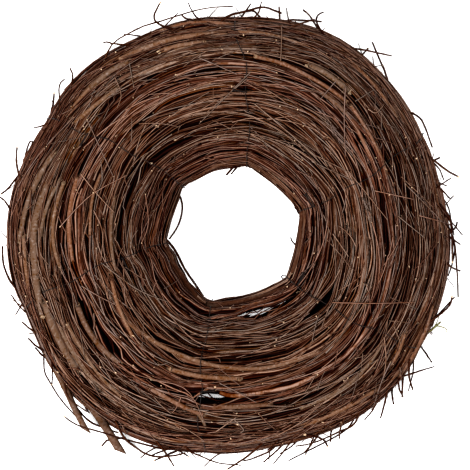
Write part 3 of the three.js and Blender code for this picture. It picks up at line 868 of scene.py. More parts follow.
# Twig ends off the rim, from the root to the tip
RIM_ENDS = [
    [(161, 27), (153, 20), (161, 5)], [(164, 26), (178, 12)], [(198, 21), (190.5, 10), (189, 5)],
    [(197, 21), (190, 18.6), (186, 18.6), (182, 15)],
    [(112, 45), (126, 36.5), (145, 27), (159, 23.5), (175, 18.5), (195, 12), (216, 8.5), (233, 8)],
    [(131, 34), (123, 34)], [(113, 45), (109, 43.3), (104, 44)],
    [(239, 39), (236.5, 24), (244, 13.5), (251, 3.5)], [(258, 17), (261.5, 3)],
    [(258, 14), (254, 9), (246, 10.5)], [(229, 17), (245, 14), (263.5, 8.5), (273.5, 13), (281, 16)],
    [(281.5, 44), (280.7, 26), (279.3, 5.5)], [(291, 29), (287, 17), (286.4, 9.5)],
    [(315, 23), (309, 13.5), (303, 9)], [(315, 24), (317, 16.5), (323, 14)],
    [(290, 19), (302, 19.7), (312, 20), (322, 21)], [(299, 26), (314, 21.5)],
    [(387, 73), (380, 58), (373, 41)], [(355, 49), (391, 57)], [(360, 78), (360.5, 57), (369, 47)],
    [(419, 117), (425, 130), (431, 148)], [(434, 160.5), (441, 157)],
    [(433, 161), (444, 170.5), (456.5, 177.5)], [(439, 166), (444.5, 180)],
    [(433, 189), (441, 184), (449, 178.5)], [(440, 183), (447.5, 185.6)],
    [(443, 193), (448, 200), (451, 196.5)], [(446, 200), (450.6, 210), (452, 221), (455, 235)],
    [(446, 218), (453, 226), (460.5, 235)], [(452, 231), (457, 227.5), (458.5, 222)],
    [(447, 215), (450, 226), (450.6, 262)], [(447, 234), (454.4, 240), (460.6, 244.4)],
    [(448, 228), (452.5, 240), (455, 265), (456.3, 296)],
    [(450, 236), (455.6, 246), (453, 262), (448, 276)], [(447, 266), (459, 271)],
    [(434, 320), (447.5, 305), (454, 297.5)], [(442, 311), (449, 303), (449.5, 296)],
    [(420, 345), (426, 353), (432.5, 363)], [(413, 372), (424, 368.5), (433.5, 366)],
    [(414, 372), (411, 382), (408.5, 391)], [(407, 376), (411, 388)], [(403, 380), (402.5, 397)],
    [(397, 386), (402, 396)], [(392, 391), (394, 405)], [(385, 397), (379.5, 417)],
    [(376, 408), (365, 421)], [(354, 424), (339, 430), (325, 437), (309, 443), (295, 445)],
    [(352, 426), (339, 436), (325, 443.5), (308, 452), (288.5, 462)],
    [(319, 432), (311, 443.5), (303.5, 452)], [(316, 434), (312, 442), (305.5, 456)],
    [(322, 436), (327, 445)], [(331, 432), (331, 443)], [(338, 429), (339, 438)],
    [(294, 446), (280, 454.5)], [(286, 446), (280, 454), (273, 462)],
    [(281, 447), (271, 456), (263.5, 462.5)], [(270, 446), (268.6, 454), (268.6, 462.5)],
    [(271, 451), (262, 455), (249, 460), (244, 460.5)], [(249, 453), (238, 460.5), (227, 467.5)],
    [(222, 453), (212, 459), (204, 467)], [(192, 451), (201, 454), (216.5, 461.5), (241, 463.5)],
    [(178, 451), (188.6, 457)], [(167, 452), (174.5, 464.5)], [(170, 454), (154, 461.5)],
    [(162, 450), (150.5, 454.5)], [(157, 448), (148.6, 451.5), (140, 458.5)],
    [(124, 435), (131, 441.5), (150, 455), (172, 454.5), (186, 451)], [(107, 440), (101, 447)],
    [(172, 449), (152, 444.5), (120, 436), (96, 428.5), (78, 424), (66, 415)],
    [(73, 405), (88, 422), (104, 428.5), (118, 433)], [(68, 396), (78, 404), (88, 411)],
    [(43, 358), (44, 374), (48, 380), (58, 397), (70, 411), (80, 421)], [(54, 372), (53.8, 383)],
    [(43, 357), (35, 347.5)], [(38, 346), (30, 337)], [(34, 333), (28.5, 334)], [(32, 329), (23.5, 321)],
    [(21, 306), (19, 309), (15.5, 315)], [(22, 308), (12.5, 294)],
    [(12, 285), (5, 271), (2.5, 260), (2.5, 246)], [(7, 201), (0.5, 197)],
    [(20, 173), (15, 179), (7.5, 189), (0.5, 194)], [(20, 173), (18, 160), (19, 147.5)],
    [(24, 160), (25.6, 151), (30, 139), (33, 143)], [(41, 127.5), (35, 128)],
    [(50, 113), (53, 102.5), (53.8, 92.5)], [(61, 102), (60, 86), (66, 80)],
    [(72, 82), (73, 74), (70, 68)],
]

# They start inside the row, this far back along the ring and this deep. They leave it at a level above its
# middle, and rise from there.
RIM_END = SimpleNamespace(radius=0.95, back=14, deep=9, level=(-4, 6), rise=(-3, 6))

# Twigs at the edge of the hole: places along them, their radius and how far above the middle of the row
HOLE_TWIGS = [
    ([(175, 190), (180, 196), (182.5, 206), (181, 217), (177, 228), (169, 239)], 1.0, 1),
    ([(236, 162), (233, 167), (226, 175)], 1.2, 0), ([(240, 162), (236, 168), (231, 174)], 0.9, 2),
    ([(163, 237), (171, 245), (177, 254), (182, 265), (188, 275), (194, 283), (203, 297)], 1.3, -2),
    ([(301, 214), (296, 209), (294.5, 206.5), (297, 205), (302, 207)], 0.6, 2),
    ([(297, 246), (292, 241), (291, 237)], 0.8, -1),
    ([(290, 283), (283, 279), (281, 276), (286, 275)], 0.6, 1),
    ([(184, 186), (190, 181), (203, 173), (214, 167)], 0.8, -2),
    ([(262, 170), (276, 181), (289, 195), (299, 214)], 0.7, 3),
]

# Canes at the edge of the hole: the same, and their tone
HOLE_CANES = [
    ([(207, 304), (222, 305), (250, 301), (275, 293), (288, 286.5)], 3.3, 10, 0.26),
    ([(303, 210), (301, 222), (301, 237), (298, 255), (292, 273)], 2.1, 7.5, 0.25),
    ([(307, 214), (309, 236), (305, 256), (300, 272)], 2.2, 11, 0.3),
    ([(166, 247), (174.5, 265.5), (185.5, 283), (197, 297)], 2.0, 7.5, 0.26),
    ([(191, 177), (207, 169), (226, 162), (240, 160.5)], 2.0, 7.5, 0.42),
    ([(244, 160.5), (262, 167.5), (280, 180.5), (294, 202)], 1.8, 7.5, 0.42),
]

# Dark twigs in front of the slits that show the ground: places along them, their radius and their depth
SLIT_TWIGS = [
    ([(240, 319), (256, 315), (270, 307), (282, 303)], 0.6, 12),
    ([(248, 306), (256, 311), (264, 318)], 0.5, 7),
    ([(190, 391), (204, 393), (216, 398), (232, 399)], 0.6, 12),
    ([(206, 388), (211, 394), (218, 400)], 0.7, 16),
]

# A green shoot at the rim: places along its stems and their radius. Its tone is beyond those of the bark.
SPRIG = [
    ([(428, 333), (435, 327), (441, 322)], 1.2), ([(437, 326), (443, 327), (448, 330), (446, 333)], 0.6),
    ([(434, 328), (438, 321), (439, 316)], 0.5),
]
GREEN_TONE = 2.0

# Thin pale twigs that cross the face
CROSSING = [
    [(250, 76), (200, 126)], [(247, 82), (206, 116)], [(199, 61), (237, 78)],
    [(254, 107), (283, 131), (315, 159)], [(343, 90), (341, 122), (343, 159)], [(336.5, 81), (318, 103)],
    [(330, 301), (370, 302), (412, 301)], [(310, 163), (350, 182)], [(398, 178), (432, 209)],
    [(416, 216), (452, 225)], [(394, 216), (420, 237)], [(331, 234), (346, 256)],
    [(155, 377), (190, 383), (206, 421)], [(233, 415), (245, 427), (240, 430)],
    [(206, 410), (232, 417), (262, 413), (290, 402), (318, 382)], [(217, 428), (236, 414)],
    [(226, 188), (237, 202), (245, 211)], [(90, 122), (116, 178)], [(131, 66), (136, 90)],
    [(117, 80), (125, 98), (120, 110)], [(128, 113), (145, 104), (160, 100)],
    [(84, 175), (100, 195), (117, 213)], [(64, 227), (93, 195), (130, 176)],
    [(97, 211), (107, 231), (104, 260)], [(147, 195), (151, 225), (143, 243)],
    [(104, 262), (140, 290), (170, 301)], [(163, 292), (175, 306), (190, 318)],
    [(85, 285), (102, 295), (118, 303)], [(345, 172), (360, 190), (384, 220)], [(402, 185), (440, 222)],
    [(372, 192), (410, 200)], [(280, 345), (310, 330), (330, 322)],
    [(42, 228), (42.5, 246), (45, 256), (52, 264)], [(281, 30), (280.5, 50), (279.5, 69)],
    [(353, 104), (372, 92)], [(366, 112), (373, 117), (381, 107)], [(388, 360), (378, 382), (372, 410)],
    [(390, 322), (398, 342)], [(381, 335), (384, 358), (381, 376)], [(398, 366), (401, 380)],
    [(386, 319), (405, 321)], [(275, 434), (300, 420), (318, 402)], [(220, 380), (240, 390), (256, 399)],
    [(165, 417), (187, 425), (204, 438)],
]

# Thick canes that show in the face: places along the cane, its radius and its tone from dark to pale
CANES = [
    ([(53, 182), (45, 200), (38, 222), (37, 245), (38.5, 270), (41, 295), (46, 317)], 3.6, 0.9),
    ([(58, 152), (46, 170), (36, 190), (29, 208), (25, 226), (22, 244)], 2.6, 0.84),
    ([(64, 180), (53, 200), (46, 222), (43.5, 242)], 1.8, 0.84),
    ([(67, 184), (60, 205), (56, 228), (58, 250), (64, 268)], 1.9, 0.76),
    ([(104, 175), (97, 192), (94, 210), (93, 235)], 1.5, 0.76),
    ([(117, 198), (113, 225), (114, 250), (118, 272)], 1.8, 0.84),
    ([(27, 236), (28, 262), (32, 290)], 2.2, 0.76),
    ([(47, 300), (55, 322), (66, 346), (82, 370)], 3.9, 0.88),
    ([(59, 316), (72, 345), (90, 371), (104, 386)], 2.0, 0.84),
    ([(80, 303), (87, 320), (97, 337), (109, 350), (124, 362)], 2.7, 0.9),
    ([(70, 322), (82, 342), (94, 362), (108, 380), (124, 394)], 1.7, 0.78),
    ([(88, 94), (100, 83), (114, 72), (132, 63)], 2.8, 0.84),
    ([(70, 118), (82, 101), (96, 86)], 2.4, 0.76),
    ([(76, 126), (92, 112), (108, 100), (121, 90)], 2.1, 0.76),
    ([(162, 33), (180, 26), (205, 24), (236, 27)], 2.4, 0.72),
    ([(120, 62), (155, 46), (190, 38), (228, 36)], 2.7, 0.76),
    ([(160, 54), (180, 48), (205, 45)], 2.2, 0.76),
    ([(306, 68), (318, 73), (332, 82), (348, 95)], 2.8, 0.95),
    ([(238, 35), (262, 36), (285, 42), (310, 52)], 2.0, 0.76),
    ([(255, 60), (280, 66), (300, 76), (325, 90), (345, 105)], 1.9, 0.76),
    ([(312, 92), (326, 100), (340, 112), (352, 128)], 2.2, 0.84),
    ([(345, 60), (365, 80), (382, 100), (395, 120)], 1.8, 0.72),
    ([(430, 305), (424, 330), (412, 355), (398, 375)], 2.1, 0.76),
    ([(402, 330), (396, 350), (386, 366)], 2.5, 0.7),
    ([(385, 330), (372, 355), (350, 380), (325, 395), (300, 405)], 1.7, 0.84),
    ([(300, 424), (330, 412), (355, 400), (380, 385)], 2.3, 0.76),
    ([(128, 318), (155, 340), (196, 359), (237, 367), (277, 364), (318, 348)], 2.2, 0.78),
    ([(170, 366), (200, 374), (240, 376)], 2.4, 0.76),
    ([(200, 403), (235, 404), (270, 401)], 2.4, 0.5),
    ([(150, 384), (172, 397), (192, 407), (206, 412)], 2.3, 0.76),
    ([(196, 408), (203, 416), (206, 424)], 1.6, 0.97),
    ([(192, 437), (215, 440), (240, 443), (270, 437)], 1.6, 0.95),
    ([(112, 262), (118, 300), (135, 335)], 2.0, 0.72),
    ([(81, 178), (74, 205), (72, 232), (76, 262)], 2.3, 0.72),
    ([(348, 108), (361, 127), (373, 148), (383, 172)], 1.6, 0.76),
    ([(346, 119), (358, 138), (367, 158), (374, 178)], 1.7, 0.72),
]

# Thick cut canes that stand off the rim: places along the cane, how far above the middle of the row each is,
# and the cane's radius, tone and how slantwise it is cut
CUT_CANES = [
    ([(40, 335), (48, 355), (58, 374), (67, 392), (76, 412),
     (86, 431)], (3, 6.5, 6.5, 5.5, 5, 5), 3.1, 0.86, -1.6),
    ([(56, 358), (66, 374), (80, 391), (95, 411), (108, 431),
     (120.5, 452)], (5, 8.5, 8.5, 6.5, 5.5, 5.5), 4.1, 0.9, -1.3),
]


# Bark, cut wood and wire


class Nodes:
    """Adds shader nodes to a tree, from left to right."""

    def __init__(self, tree):
        self.tree = tree

    def feed(self, node, inputs):
        """Links or sets the inputs of a node."""
        for name, value in inputs.items():
            if isinstance(value, bpy.types.NodeSocket):
                self.tree.links.new(value, node.inputs[name])
            else:
                node.inputs[name].default_value = value

    def add(self, kind, inputs=None, **settings):
        node = self.tree.nodes.new(kind)
        node.location = (180 * len(self.tree.nodes), 0)
        for name, value in settings.items():
            setattr(node, name, value)
        self.feed(node, inputs or {})
        return node

    def maths(self, operation, a, b=0.0):
        return self.add("ShaderNodeMath", {0: a, 1: b}, operation=operation).outputs[0]

    def times(self, value, *others):
        for other in others:
            value = self.maths("MULTIPLY", value, other)
        return value

    def less(self, a, b):
        return self.maths("SUBTRACT", a, b)

    def ease(self, value, low, high, to_low=0.0, to_high=1.0):
        return self.add(
            "ShaderNodeMapRange",
            {"Value": value, "From Min": low, "From Max": high, "To Min": to_low, "To Max": to_high},
            interpolation_type="SMOOTHSTEP",
        ).outputs[0]

    def between(self, share, a, b):
        return self.add("ShaderNodeMix", {0: share, 2: a, 3: b}, data_type="FLOAT").outputs[0]

    def blend(self, share, a, b, how="MIX"):
        return self.add("ShaderNodeMix", {0: share, 6: a, 7: b}, data_type="RGBA", blend_type=how).outputs[2]

    def attribute(self, name):
        return self.add("ShaderNodeAttribute", attribute_name=name).outputs["Fac"]

    def combine(self, x, y, z):
        return self.add("ShaderNodeCombineXYZ", {0: x, 1: y, 2: z}).outputs[0]

    def noise(self, vector, scale=1.0, detail=2.0):
        node = self.add("ShaderNodeTexNoise", {"Vector": vector, "Scale": scale, "Detail": detail})
        return node.outputs["Fac"]

    def own_place(self):
        return self.add("ShaderNodeTexCoord").outputs["Object"]


def colour(red, green, blue):
    """A colour given as it looks on a screen, 0 to 255, as light."""
    def light(value):
        value /= 255
        return value / 12.92 if value <= 0.04045 else ((value + 0.055) / 1.055) ** 2.4
    return (light(red), light(green), light(blue), 1)


def bark_group():
    """Twig bark: one tone a twig, streaks along it, paler worn patches, bare wood where it is cut, and
    painted light and shade.
    """
    tree = bpy.data.node_groups.new("TwigBark", "ShaderNodeTree")
    for way, kind, names in (
        ("INPUT", "Color", ("Dark bark", "Brown bark", "Tan bark", "Grey bark", "Cut wood", "Green shoot")),
        ("INPUT", "Float", ("Streaks", "Wear")),
        ("OUTPUT", "Color", ("Color",)),
        ("OUTPUT", "Float", ("Roughness", "Height")),
    ):
        for name in names:
            tree.interface.new_socket(name, in_out=way, socket_type=f"NodeSocket{kind}")
    n = Nodes(tree)
    given = n.add("NodeGroupInput").outputs
    tone, smooth, inside, fresh = (n.attribute(name) for name in ("tone", "smooth", "inside", "fresh"))
    run = n.add("ShaderNodeUVMap", uv_map="BarkRun").outputs[0]
    along, around, _ = n.add("ShaderNodeSeparateXYZ", {0: run}).outputs
    own = n.times(tone, 57.0)

    def pattern(lengthwise, sideways, detail):
        """A noise that differs from twig to twig, drawn out along them."""
        return n.noise(n.combine(n.times(along, lengthwise), n.times(around, sideways), own), 1.0, detail)

    streak, patch, fleck = pattern(0.09, 5.0, 3.0), pattern(0.035, 1.2, 2.0), pattern(0.5, 7.0, 1.0)

    # The colour goes with the tone, and worn patches are grey
    bark = n.blend(n.ease(tone, 0.05, 0.35), given["Dark bark"], given["Brown bark"])
    bark = n.blend(n.ease(tone, 0.4, 0.65), bark, given["Tan bark"])
    bark = n.blend(n.ease(tone, 0.7, 0.85), bark, given["Grey bark"])
    bark = n.blend(n.ease(tone, 1.2, 1.8), bark, given["Green shoot"])
    bark = n.blend(n.times(n.ease(patch, 0.5, 0.72), given["Wear"]), bark, given["Grey bark"])

    # A painted highlight lies along the outer side of a twig and painted shade down its sides, more evenly
    # on a cane. Painted shade darkens what lies deep.
    facing = n.maths("COSINE", n.times(n.less(around, 0.75), 2 * math.pi))
    painted_top_light = n.between(smooth, n.ease(facing, 0.6, 1.0, 0.02, 2.6), n.ease(facing, -0.3, 0.9, 0.2, 2.2))
    streaky = n.times(given["Streaks"], n.ease(smooth, 0.0, 1.0, 1.0, 0.3))
    streaks = n.maths("ADD", n.times(n.less(n.ease(streak, 0.3, 0.7, 0.45, 1.6), 1.0), streaky), 1.0)
    shade = n.times(
        streaks, n.ease(patch, 0.25, 0.7, 0.85, 1.12), n.ease(fleck, 0.58, 0.7, 1.0, 1.7),
        n.ease(fleck, 0.3, 0.42, 0.55, 1.0), painted_top_light, n.less(1.0, n.times(inside, 0.95)),
    )
    shade = n.maths("MINIMUM", shade, 2.35)
    dim = n.maths("MINIMUM", shade, 1.0)

    # What is darker is also redder
    red = n.times(n.maths("POWER", shade, 0.68), n.maths("POWER", dim, -0.2))
    blue = n.times(n.maths("POWER", shade, 1.33), dim)
    bark = n.blend(1.0, bark, n.combine(red, shade, blue), "MULTIPLY")
    wood = n.blend(n.ease(fleck, 0.3, 0.8), given["Cut wood"], given["Tan bark"])
    n.add("NodeGroupOutput", {
        "Color": n.blend(fresh, bark, wood),
        "Roughness": n.ease(streak, 0.2, 0.8, 0.85, 0.55),
        "Height": n.times(streak, n.less(1.0, fresh)),
    })
    return tree


def new_material(name):
    """A material, its nodes and its shader."""
    material = bpy.data.materials.new(name)
    material.use_nodes = True
    return material, Nodes(material.node_tree), material.node_tree.nodes["Principled BSDF"]


BARK = bark_group()
CUT_WOOD = colour(206, 182, 154)
GREEN_SHOOT = colour(110, 98, 56)


def bark(name, dark, brown, tan, grey):
    """Bark whose twigs go from dark to tan and worn grey."""
    material, n, shader = new_material(name)
    group = n.add("ShaderNodeGroup", node_tree=BARK)
    n.feed(group, {
        "Dark bark": colour(*dark), "Brown bark": colour(*brown), "Tan bark": colour(*tan),
        "Grey bark": colour(*grey), "Cut wood": CUT_WOOD, "Green shoot": GREEN_SHOOT,
        "Streaks": 1.0, "Wear": 0.5,
    })
    bump = n.add("ShaderNodeBump", {"Height": group.outputs["Height"], "Strength": 0.6, "Distance": 0.0004})
    n.feed(shader, {
        "Base Color": group.outputs["Color"], "Roughness": group.outputs["Roughness"],
        "Normal": bump.outputs["Normal"], "Specular IOR Level": 0.06,
    })
    return material


BARK_COLOURS = {
    "bark_brown": dict(dark=(51, 22, 8), brown=(74, 45, 29), tan=(106, 76, 57), grey=(92, 71, 57)),
    "bark_red": dict(dark=(53, 22, 8), brown=(77, 45, 30), tan=(107, 75, 57), grey=(92, 70, 57)),
    "bark_grey": dict(dark=(50, 23, 10), brown=(74, 47, 32), tan=(104, 77, 59), grey=(93, 73, 59)),
    # bark_dark is the same bark darkened further, painted shade for the inner rows
    "bark_dark": dict(dark=(27, 11, 4), brown=(45, 24, 13), tan=(63, 40, 27), grey=(57, 42, 33)),
}
BARKS = {name: bark(name, **colours) for name, colours in BARK_COLOURS.items()}


def iron():
    """Dull annealed iron, with rust in patches."""
    material, n, shader = new_material("tie_wire")
    rust = n.ease(n.noise(n.own_place(), 260.0, 3.0), 0.45, 0.65)
    n.feed(shader, {
        "Base Color": n.blend(rust, colour(24, 17, 15), colour(46, 28, 21)),
        "Roughness": n.ease(rust, 0.0, 1.0, 0.6, 0.85),
        "Metallic": n.ease(rust, 0.0, 1.0, 0.35, 0.05),
    })
    return material


# The wires

# Where each wire is twisted shut, across the face from its middle, and how its two ends are twisted
TAIL_PLACES = (-0.97, -0.06, 0.5, -0.5, 0.2, -0.97)
TAIL = SimpleNamespace(length=13, turn_length=2.6, bow=1.2, apart=0.48, opens=0.9, above=0.9, ahead=6)


def wire_path(angle):
    """Round all the rows, dipping a little between them."""
    hug = ROW_RADIUS * WIRE_BITE + WIRE_CLEARANCE + WIRE_RADIUS
    lowest = -WIRE_CLEARANCE - WIRE_RADIUS
    dip = math.radians(WIRE_DIP)
    points = []
    for row in LOOP:
        arc = row.arc - 2 * dip
        count = math.ceil(arc / math.radians(9))
        turn = row.start - dip - arc * np.linspace(0, 1, count + 1)
        points += [(row.x + hug * math.cos(a), max(lowest, row.z + hug * math.sin(a))) for a in turn]
    across, height = np.array(points).T
    return place(angle + WIRE_SLACK.turn * np.sin(across / WIRE_SLACK.across + angle), across, height)


def twisted_tail(start, heading):
    """The two ends of the wire twisted together and bent over."""
    t = np.linspace(0, 1, 40)
    heading = unit(heading)
    side = unit(np.cross(heading, (0, 0, 1)))
    up = np.cross(side, heading)
    middle = start + heading * (TAIL.length * t)[:, None] + up * (TAIL.bow * np.sin(np.pi * t))[:, None]
    apart = (TAIL.apart + TAIL.opens * t**6)[:, None]
    for phase in (0, np.pi):
        turn = (2 * np.pi * t * TAIL.length / TAIL.turn_length + phase)[:, None]
        yield middle + (side * np.cos(turn) + up * np.sin(turn)) * apart


def make_wire(number, angle, across):
    """One closed wire and its twisted tail, in the place of the frame's."""
    curve = bpy.data.curves.new(f"wire_{number}", "CURVE")
    curve.dimensions = "3D"
    curve.bevel_depth = WIRE_RADIUS * METRES
    curve.bevel_resolution = 1
    curve.use_fill_caps = True
    turn = np.array([angle, angle + TAIL.ahead])
    start, ahead = over_face(turn, np.full(2, across * FACE_WIDTH), TAIL.above)
    lines = [(wire_path(angle), True)] + [(line, False) for line in twisted_tail(start, ahead - start)]
    for line, closed in lines:
        spline = curve.splines.new("POLY")
        spline.points.add(len(line) - 1)
        spline.points.foreach_set("co", np.c_[line * METRES, np.ones(len(line))].ravel())
        spline.use_cyclic_u = closed
        spline.use_smooth = True
    wire = bpy.data.objects.new(curve.name, curve)
    bpy.context.collection.objects.link(wire)
    nothing_selected()
    wire.select_set(True)
    bpy.context.view_layer.objects.active = wire
    bpy.ops.object.convert(target="MESH")
    wire = bpy.context.object
    wire.data.materials.append(IRON)
    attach(wire, "root")
    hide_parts(f"tie_wire_{number}")


# Twigs and canes laid where the picture shows them


def above_row(points, heights, shape, rounding=2):
    """A path along a line of the picture at the given heights, for one twig."""
    x, y = from_picture(points)
    return smooth_line(np.stack([x, y, heights + 0 * x], 1), shape.steps + 1, rounding)[None]


def nearest_row(across):
    return 1 + int(np.argmin([abs(row.x - across) for row in FACE_ROWS]))


def on_face_line(points, above, shape):
    """A path over the face along a line of the picture, and which row its middle lies in."""
    line = above_row(points, above, shape)[0]
    angle, across = unplace(line[:, 0], line[:, 1])
    height = over_face(angle, across, line[:, 2])[:, 2]
    return np.c_[line[:, :2], height][None], nearest_row(across[shape.steps // 2])


def lay_face_canes(heap, number):
    """The thick canes whose middle lies in this row. They lie half in the face, and their ends deeper."""
    for points, radius, tone in CANES:
        above = np.full(len(points), -0.55 * radius)
        above[[0, -1]] = -1.6 * radius
        path, row = on_face_line(points, above, CANE)
        if row == number:
            heap.lay(
                CANE, path, radius, tone, inside=0.5, smooth=1, taper=0.12, uneven=0.03, fresh=0.2,
                slope=np.array([[1.2, 1.2]]),
            )


def lay_crossing(heap, number):
    """The thin twigs that cross the face, with their ends at uneven heights."""
    draw = heap.draw
    for n, points in enumerate(CROSSING):
        above = np.full(len(points), 0.8)
        above[[0, -1]] = 1.4 - 2.6 * ((n * 0.37 + np.array([0, 0.5])) % 1)
        path, row = on_face_line(points, above, THIN_TWIG)
        if row == number:
            heap.lay(THIN_TWIG, path, draw.uniform(0.5, 0.75), draw.uniform(0.55, 0.95))


def lay_slit_twigs(heap, number):
    """The dark twigs low in the slits."""
    for points, radius, deep in SLIT_TWIGS:
        path, row = on_face_line(points, -deep, THIN_TWIG)
        if row == number:
            heap.lay(THIN_TWIG, path, radius, 0.1, inside=0.85)


def lay_rim_ends(heap, row, number):
    """Twig ends off the rim, by turns in the last two rows."""
    draw = heap.draw
    for n, points in enumerate(RIM_ENDS):
        if 7 + n % 2 != number:
            continue
        x, y = from_picture(points)
        ring = np.array([-y[0], x[0]]) / np.hypot(x[0], y[0])
        ring *= np.sign(ring @ (x[1] - x[0], y[1] - y[0])) or 1
        root = np.array([x[0], y[0]]) - ring * RIM_END.back
        root *= (np.hypot(x[0], y[0]) - RIM_END.deep) / np.hypot(*root)
        level = row.z + draw.uniform(*RIM_END.level)
        rise = draw.uniform(*RIM_END.rise)
        height = np.r_[level - 2, level, level + rise * np.linspace(0.4, 1, len(x) - 1)]
        line = np.c_[np.r_[root[0], x], np.r_[root[1], y], np.maximum(height, 2)]
        path = smooth_line(line, RIM_TWIG.steps + 1, rounding=1)
        path += draw.normal(0, 0.06, path.shape)
        thick = RIM_END.radius * draw.uniform(0.8, 1.3)
        heap.lay(RIM_TWIG, path[None], thick, draw.uniform(0, 0.3), inside=0.72, taper=0.3)


def lay_rim_fuzz(heap, row, count):
    """Short fine ends that stand out of the rim all round."""
    draw = heap.draw
    t = np.linspace(0, 1, SHORT_TWIG.steps + 1)
    angle = draw.uniform(0, 360, count)
    length = draw.uniform(*FUZZ.length, count)
    heading = np.radians(draw.uniform(*FUZZ.heading, count))
    way = draw.choice([-1, 1], count)
    turn = np.radians(draw.uniform(*FUZZ.up, count))[:, None]
    span = length * np.cos(heading) * way / ring_length(row) * 360
    out = (ROW_RADIUS - FUZZ.deep) + (length * np.sin(heading))[:, None] * t
    height = np.maximum(row.z + out * np.sin(turn), 1)
    paths = place(angle[:, None] + span[:, None] * t, row.x + out * np.cos(turn), height)
    radius, tone = draw.uniform(*FUZZ.radius, count), draw.uniform(*FUZZ.tone, count)
    heap.lay(SHORT_TWIG, paths, radius, tone, inside=0.3, taper=0.4)


def lay_cut_canes(heap, row):
    """The thick cut canes that stand off the lower left of the rim."""
    for points, above, radius, tone, slope in CUT_CANES:
        heap.lay(
            CANE, above_row(points, row.z + np.array(above), CANE), radius, tone, inside=0.54, smooth=1,
            taper=0.1, uneven=0.025, fresh=0, slope=np.array([[0, slope]]), sideways=True,
        )


def lay_sprig(heap, row):
    """The pale green shoot that curls off the rim."""
    for points, radius in SPRIG:
        path = above_row(points, row.z + 6, SHORT_TWIG)
        heap.lay(SHORT_TWIG, path, radius, GREEN_TONE, taper=0.3, fresh=0)


def lay_hole_twigs(heap, row):
    """The twigs and canes at the edge of the hole. The canes' ends dip into the row."""
    draw = heap.draw
    for points, radius, above in HOLE_TWIGS:
        path = above_row(points, row.z + above, THIN_TWIG)
        heap.lay(THIN_TWIG, path, radius, draw.uniform(0, 0.3), inside=0.95, taper=0.15)
    for points, radius, above, tone in HOLE_CANES:
        path = above_row(points, row.z + above, CANE)
        path[:, [0, -1], 2] -= 2 * radius
        heap.lay(CANE, path, radius, tone, inside=0.4, smooth=1, taper=0.1, uneven=0.03, fresh=0.2)


# The wreath

SLOTS = {entry["node"]: entry["material_slot"] for entry in frame["record"]["subparts"]}
THICK_SHARES = (0.02, 0.03, 0.04, 0.05, 0.07, 0.12, 0.18, 0.16)  # of thick twigs in each row of the face

# Row 1 lies round the hole and row 8 at the rim. The further out, the more loose twigs lie on the row.
for number, (row, thick_share) in enumerate(zip(FACE_ROWS, THICK_SHARES), 1):
    heap = Heap(number)
    wind_row(heap, row, thick_share)
    plug_seam(heap, row, LOOP[number])
    fill_valley(heap, row, LOOP[number])
    if number >= 3:
        lay_wanderers(heap, row, 7 * number, SHORT_STRAYS)
    if number >= 2:
        lay_wanderers(heap, row, 12 + 5 * number, LONG_STRAYS)
        lay_scraps(heap, row, 20 + 9 * number)
        lay_stubs(heap, row, 4 + 2 * number)
        lay_face_canes(heap, number)
        lay_crossing(heap, number)
        lay_slit_twigs(heap, number)
    if number >= 7:
        lay_rim_ends(heap, row, number)
        lay_rim_fuzz(heap, row, 70)
    if number == 8:
        lay_cut_canes(heap, row)
        lay_sprig(heap, row)
    if number == 1:
        lay_hole_twigs(heap, row)
    heap.piece(f"row_{number}")

for number, (row, neighbour) in enumerate(zip(BACK_ROWS, [FACE_ROWS[0]] + BACK_ROWS), 1):
    heap = Heap(20 + number)
    wind_row(heap, row, 0.05)
    plug_seam(heap, row, neighbour)
    fill_valley(heap, row, neighbour)
    heap.piece(f"back_row_{number}")

for number, row in enumerate(INNER_ROWS, 1):
    heap = Heap(30 + number)
    for layer in INNER_LAYERS:
        wind_layer(heap, row, layer, (200, 420))
    heap.piece(f"inner_row_{number}")

IRON = iron()
for number, (angle, across) in enumerate(zip(WIRE_ANGLES, TAIL_PLACES), 1):
    make_wire(number, angle, across)


# Floor, light and camera

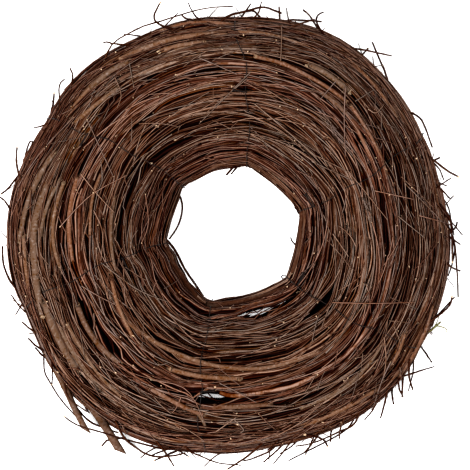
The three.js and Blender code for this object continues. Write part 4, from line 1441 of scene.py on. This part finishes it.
CAMERA_HEIGHT = 2.2
FOCUS_HEIGHT = 0.02
SENSOR = 36
LAMP_SIZE = 0.5
WORLD_LIGHT = 0.085
FLOOR_GLOW = 0.3  # keeps the ground white in the slits, as the picture has it


def make_floor():
    nothing_selected()
    bpy.ops.mesh.primitive_plane_add(size=12)
    floor = bpy.context.object
    floor.name = "floor"
    material, n, shader = new_material("white_board")
    n.feed(shader, {
        "Base Color": n.blend(n.noise(n.own_place(), 8.0), colour(250, 250, 250), colour(244, 244, 244)),
        "Roughness": 0.9, "Emission Color": (1, 1, 1, 1), "Emission Strength": FLOOR_GLOW,
    })
    floor.data.materials.append(material)


def soft_light(name, at, watts):
    light = bpy.data.lights.new(name, "AREA")
    light.shape = "DISK"
    light.size = LAMP_SIZE
    light.energy = watts
    lamp = bpy.data.objects.new(name, light)
    lamp.location = at
    lamp.rotation_mode = "QUATERNION"
    lamp.rotation_quaternion = lamp.location.to_track_quat("Z", "Y")
    bpy.context.collection.objects.link(lamp)


def make_world():
    world = bpy.data.worlds.new("studio")
    world.use_nodes = True
    background = world.node_tree.nodes["Background"]
    Nodes(world.node_tree).feed(background, {"Color": (1, 1, 1, 1), "Strength": WORLD_LIGHT})
    bpy.context.scene.world = world


def make_camera():
    """Looks straight down on the middle of the picture, as the picture was taken."""
    camera = bpy.data.cameras.new("camera")
    camera.sensor_width = SENSOR
    camera.lens = SENSOR * (CAMERA_HEIGHT - FOCUS_HEIGHT) / (PICTURE_SIDE * MM_PER_PIXEL * METRES)
    ob = bpy.data.objects.new("camera", camera)
    x, y = from_picture([(PICTURE_SIDE / 2, PICTURE_SIDE / 2)])
    ob.location = (x[0] * METRES, y[0] * METRES, CAMERA_HEIGHT)
    bpy.context.collection.objects.link(ob)
    bpy.context.scene.camera = ob


make_floor()
make_world()
soft_light("window_light", (-1.15, -0.6, 1.9), 56)
soft_light("side_light", (1.3, 0.3, 1.9), 25)
soft_light("top_light", (0.0, 0.1, 2.4), 21)
make_camera()
bpy.context.scene.view_settings.view_transform = "Standard"
bpy.context.scene.view_settings.look = "High Contrast"
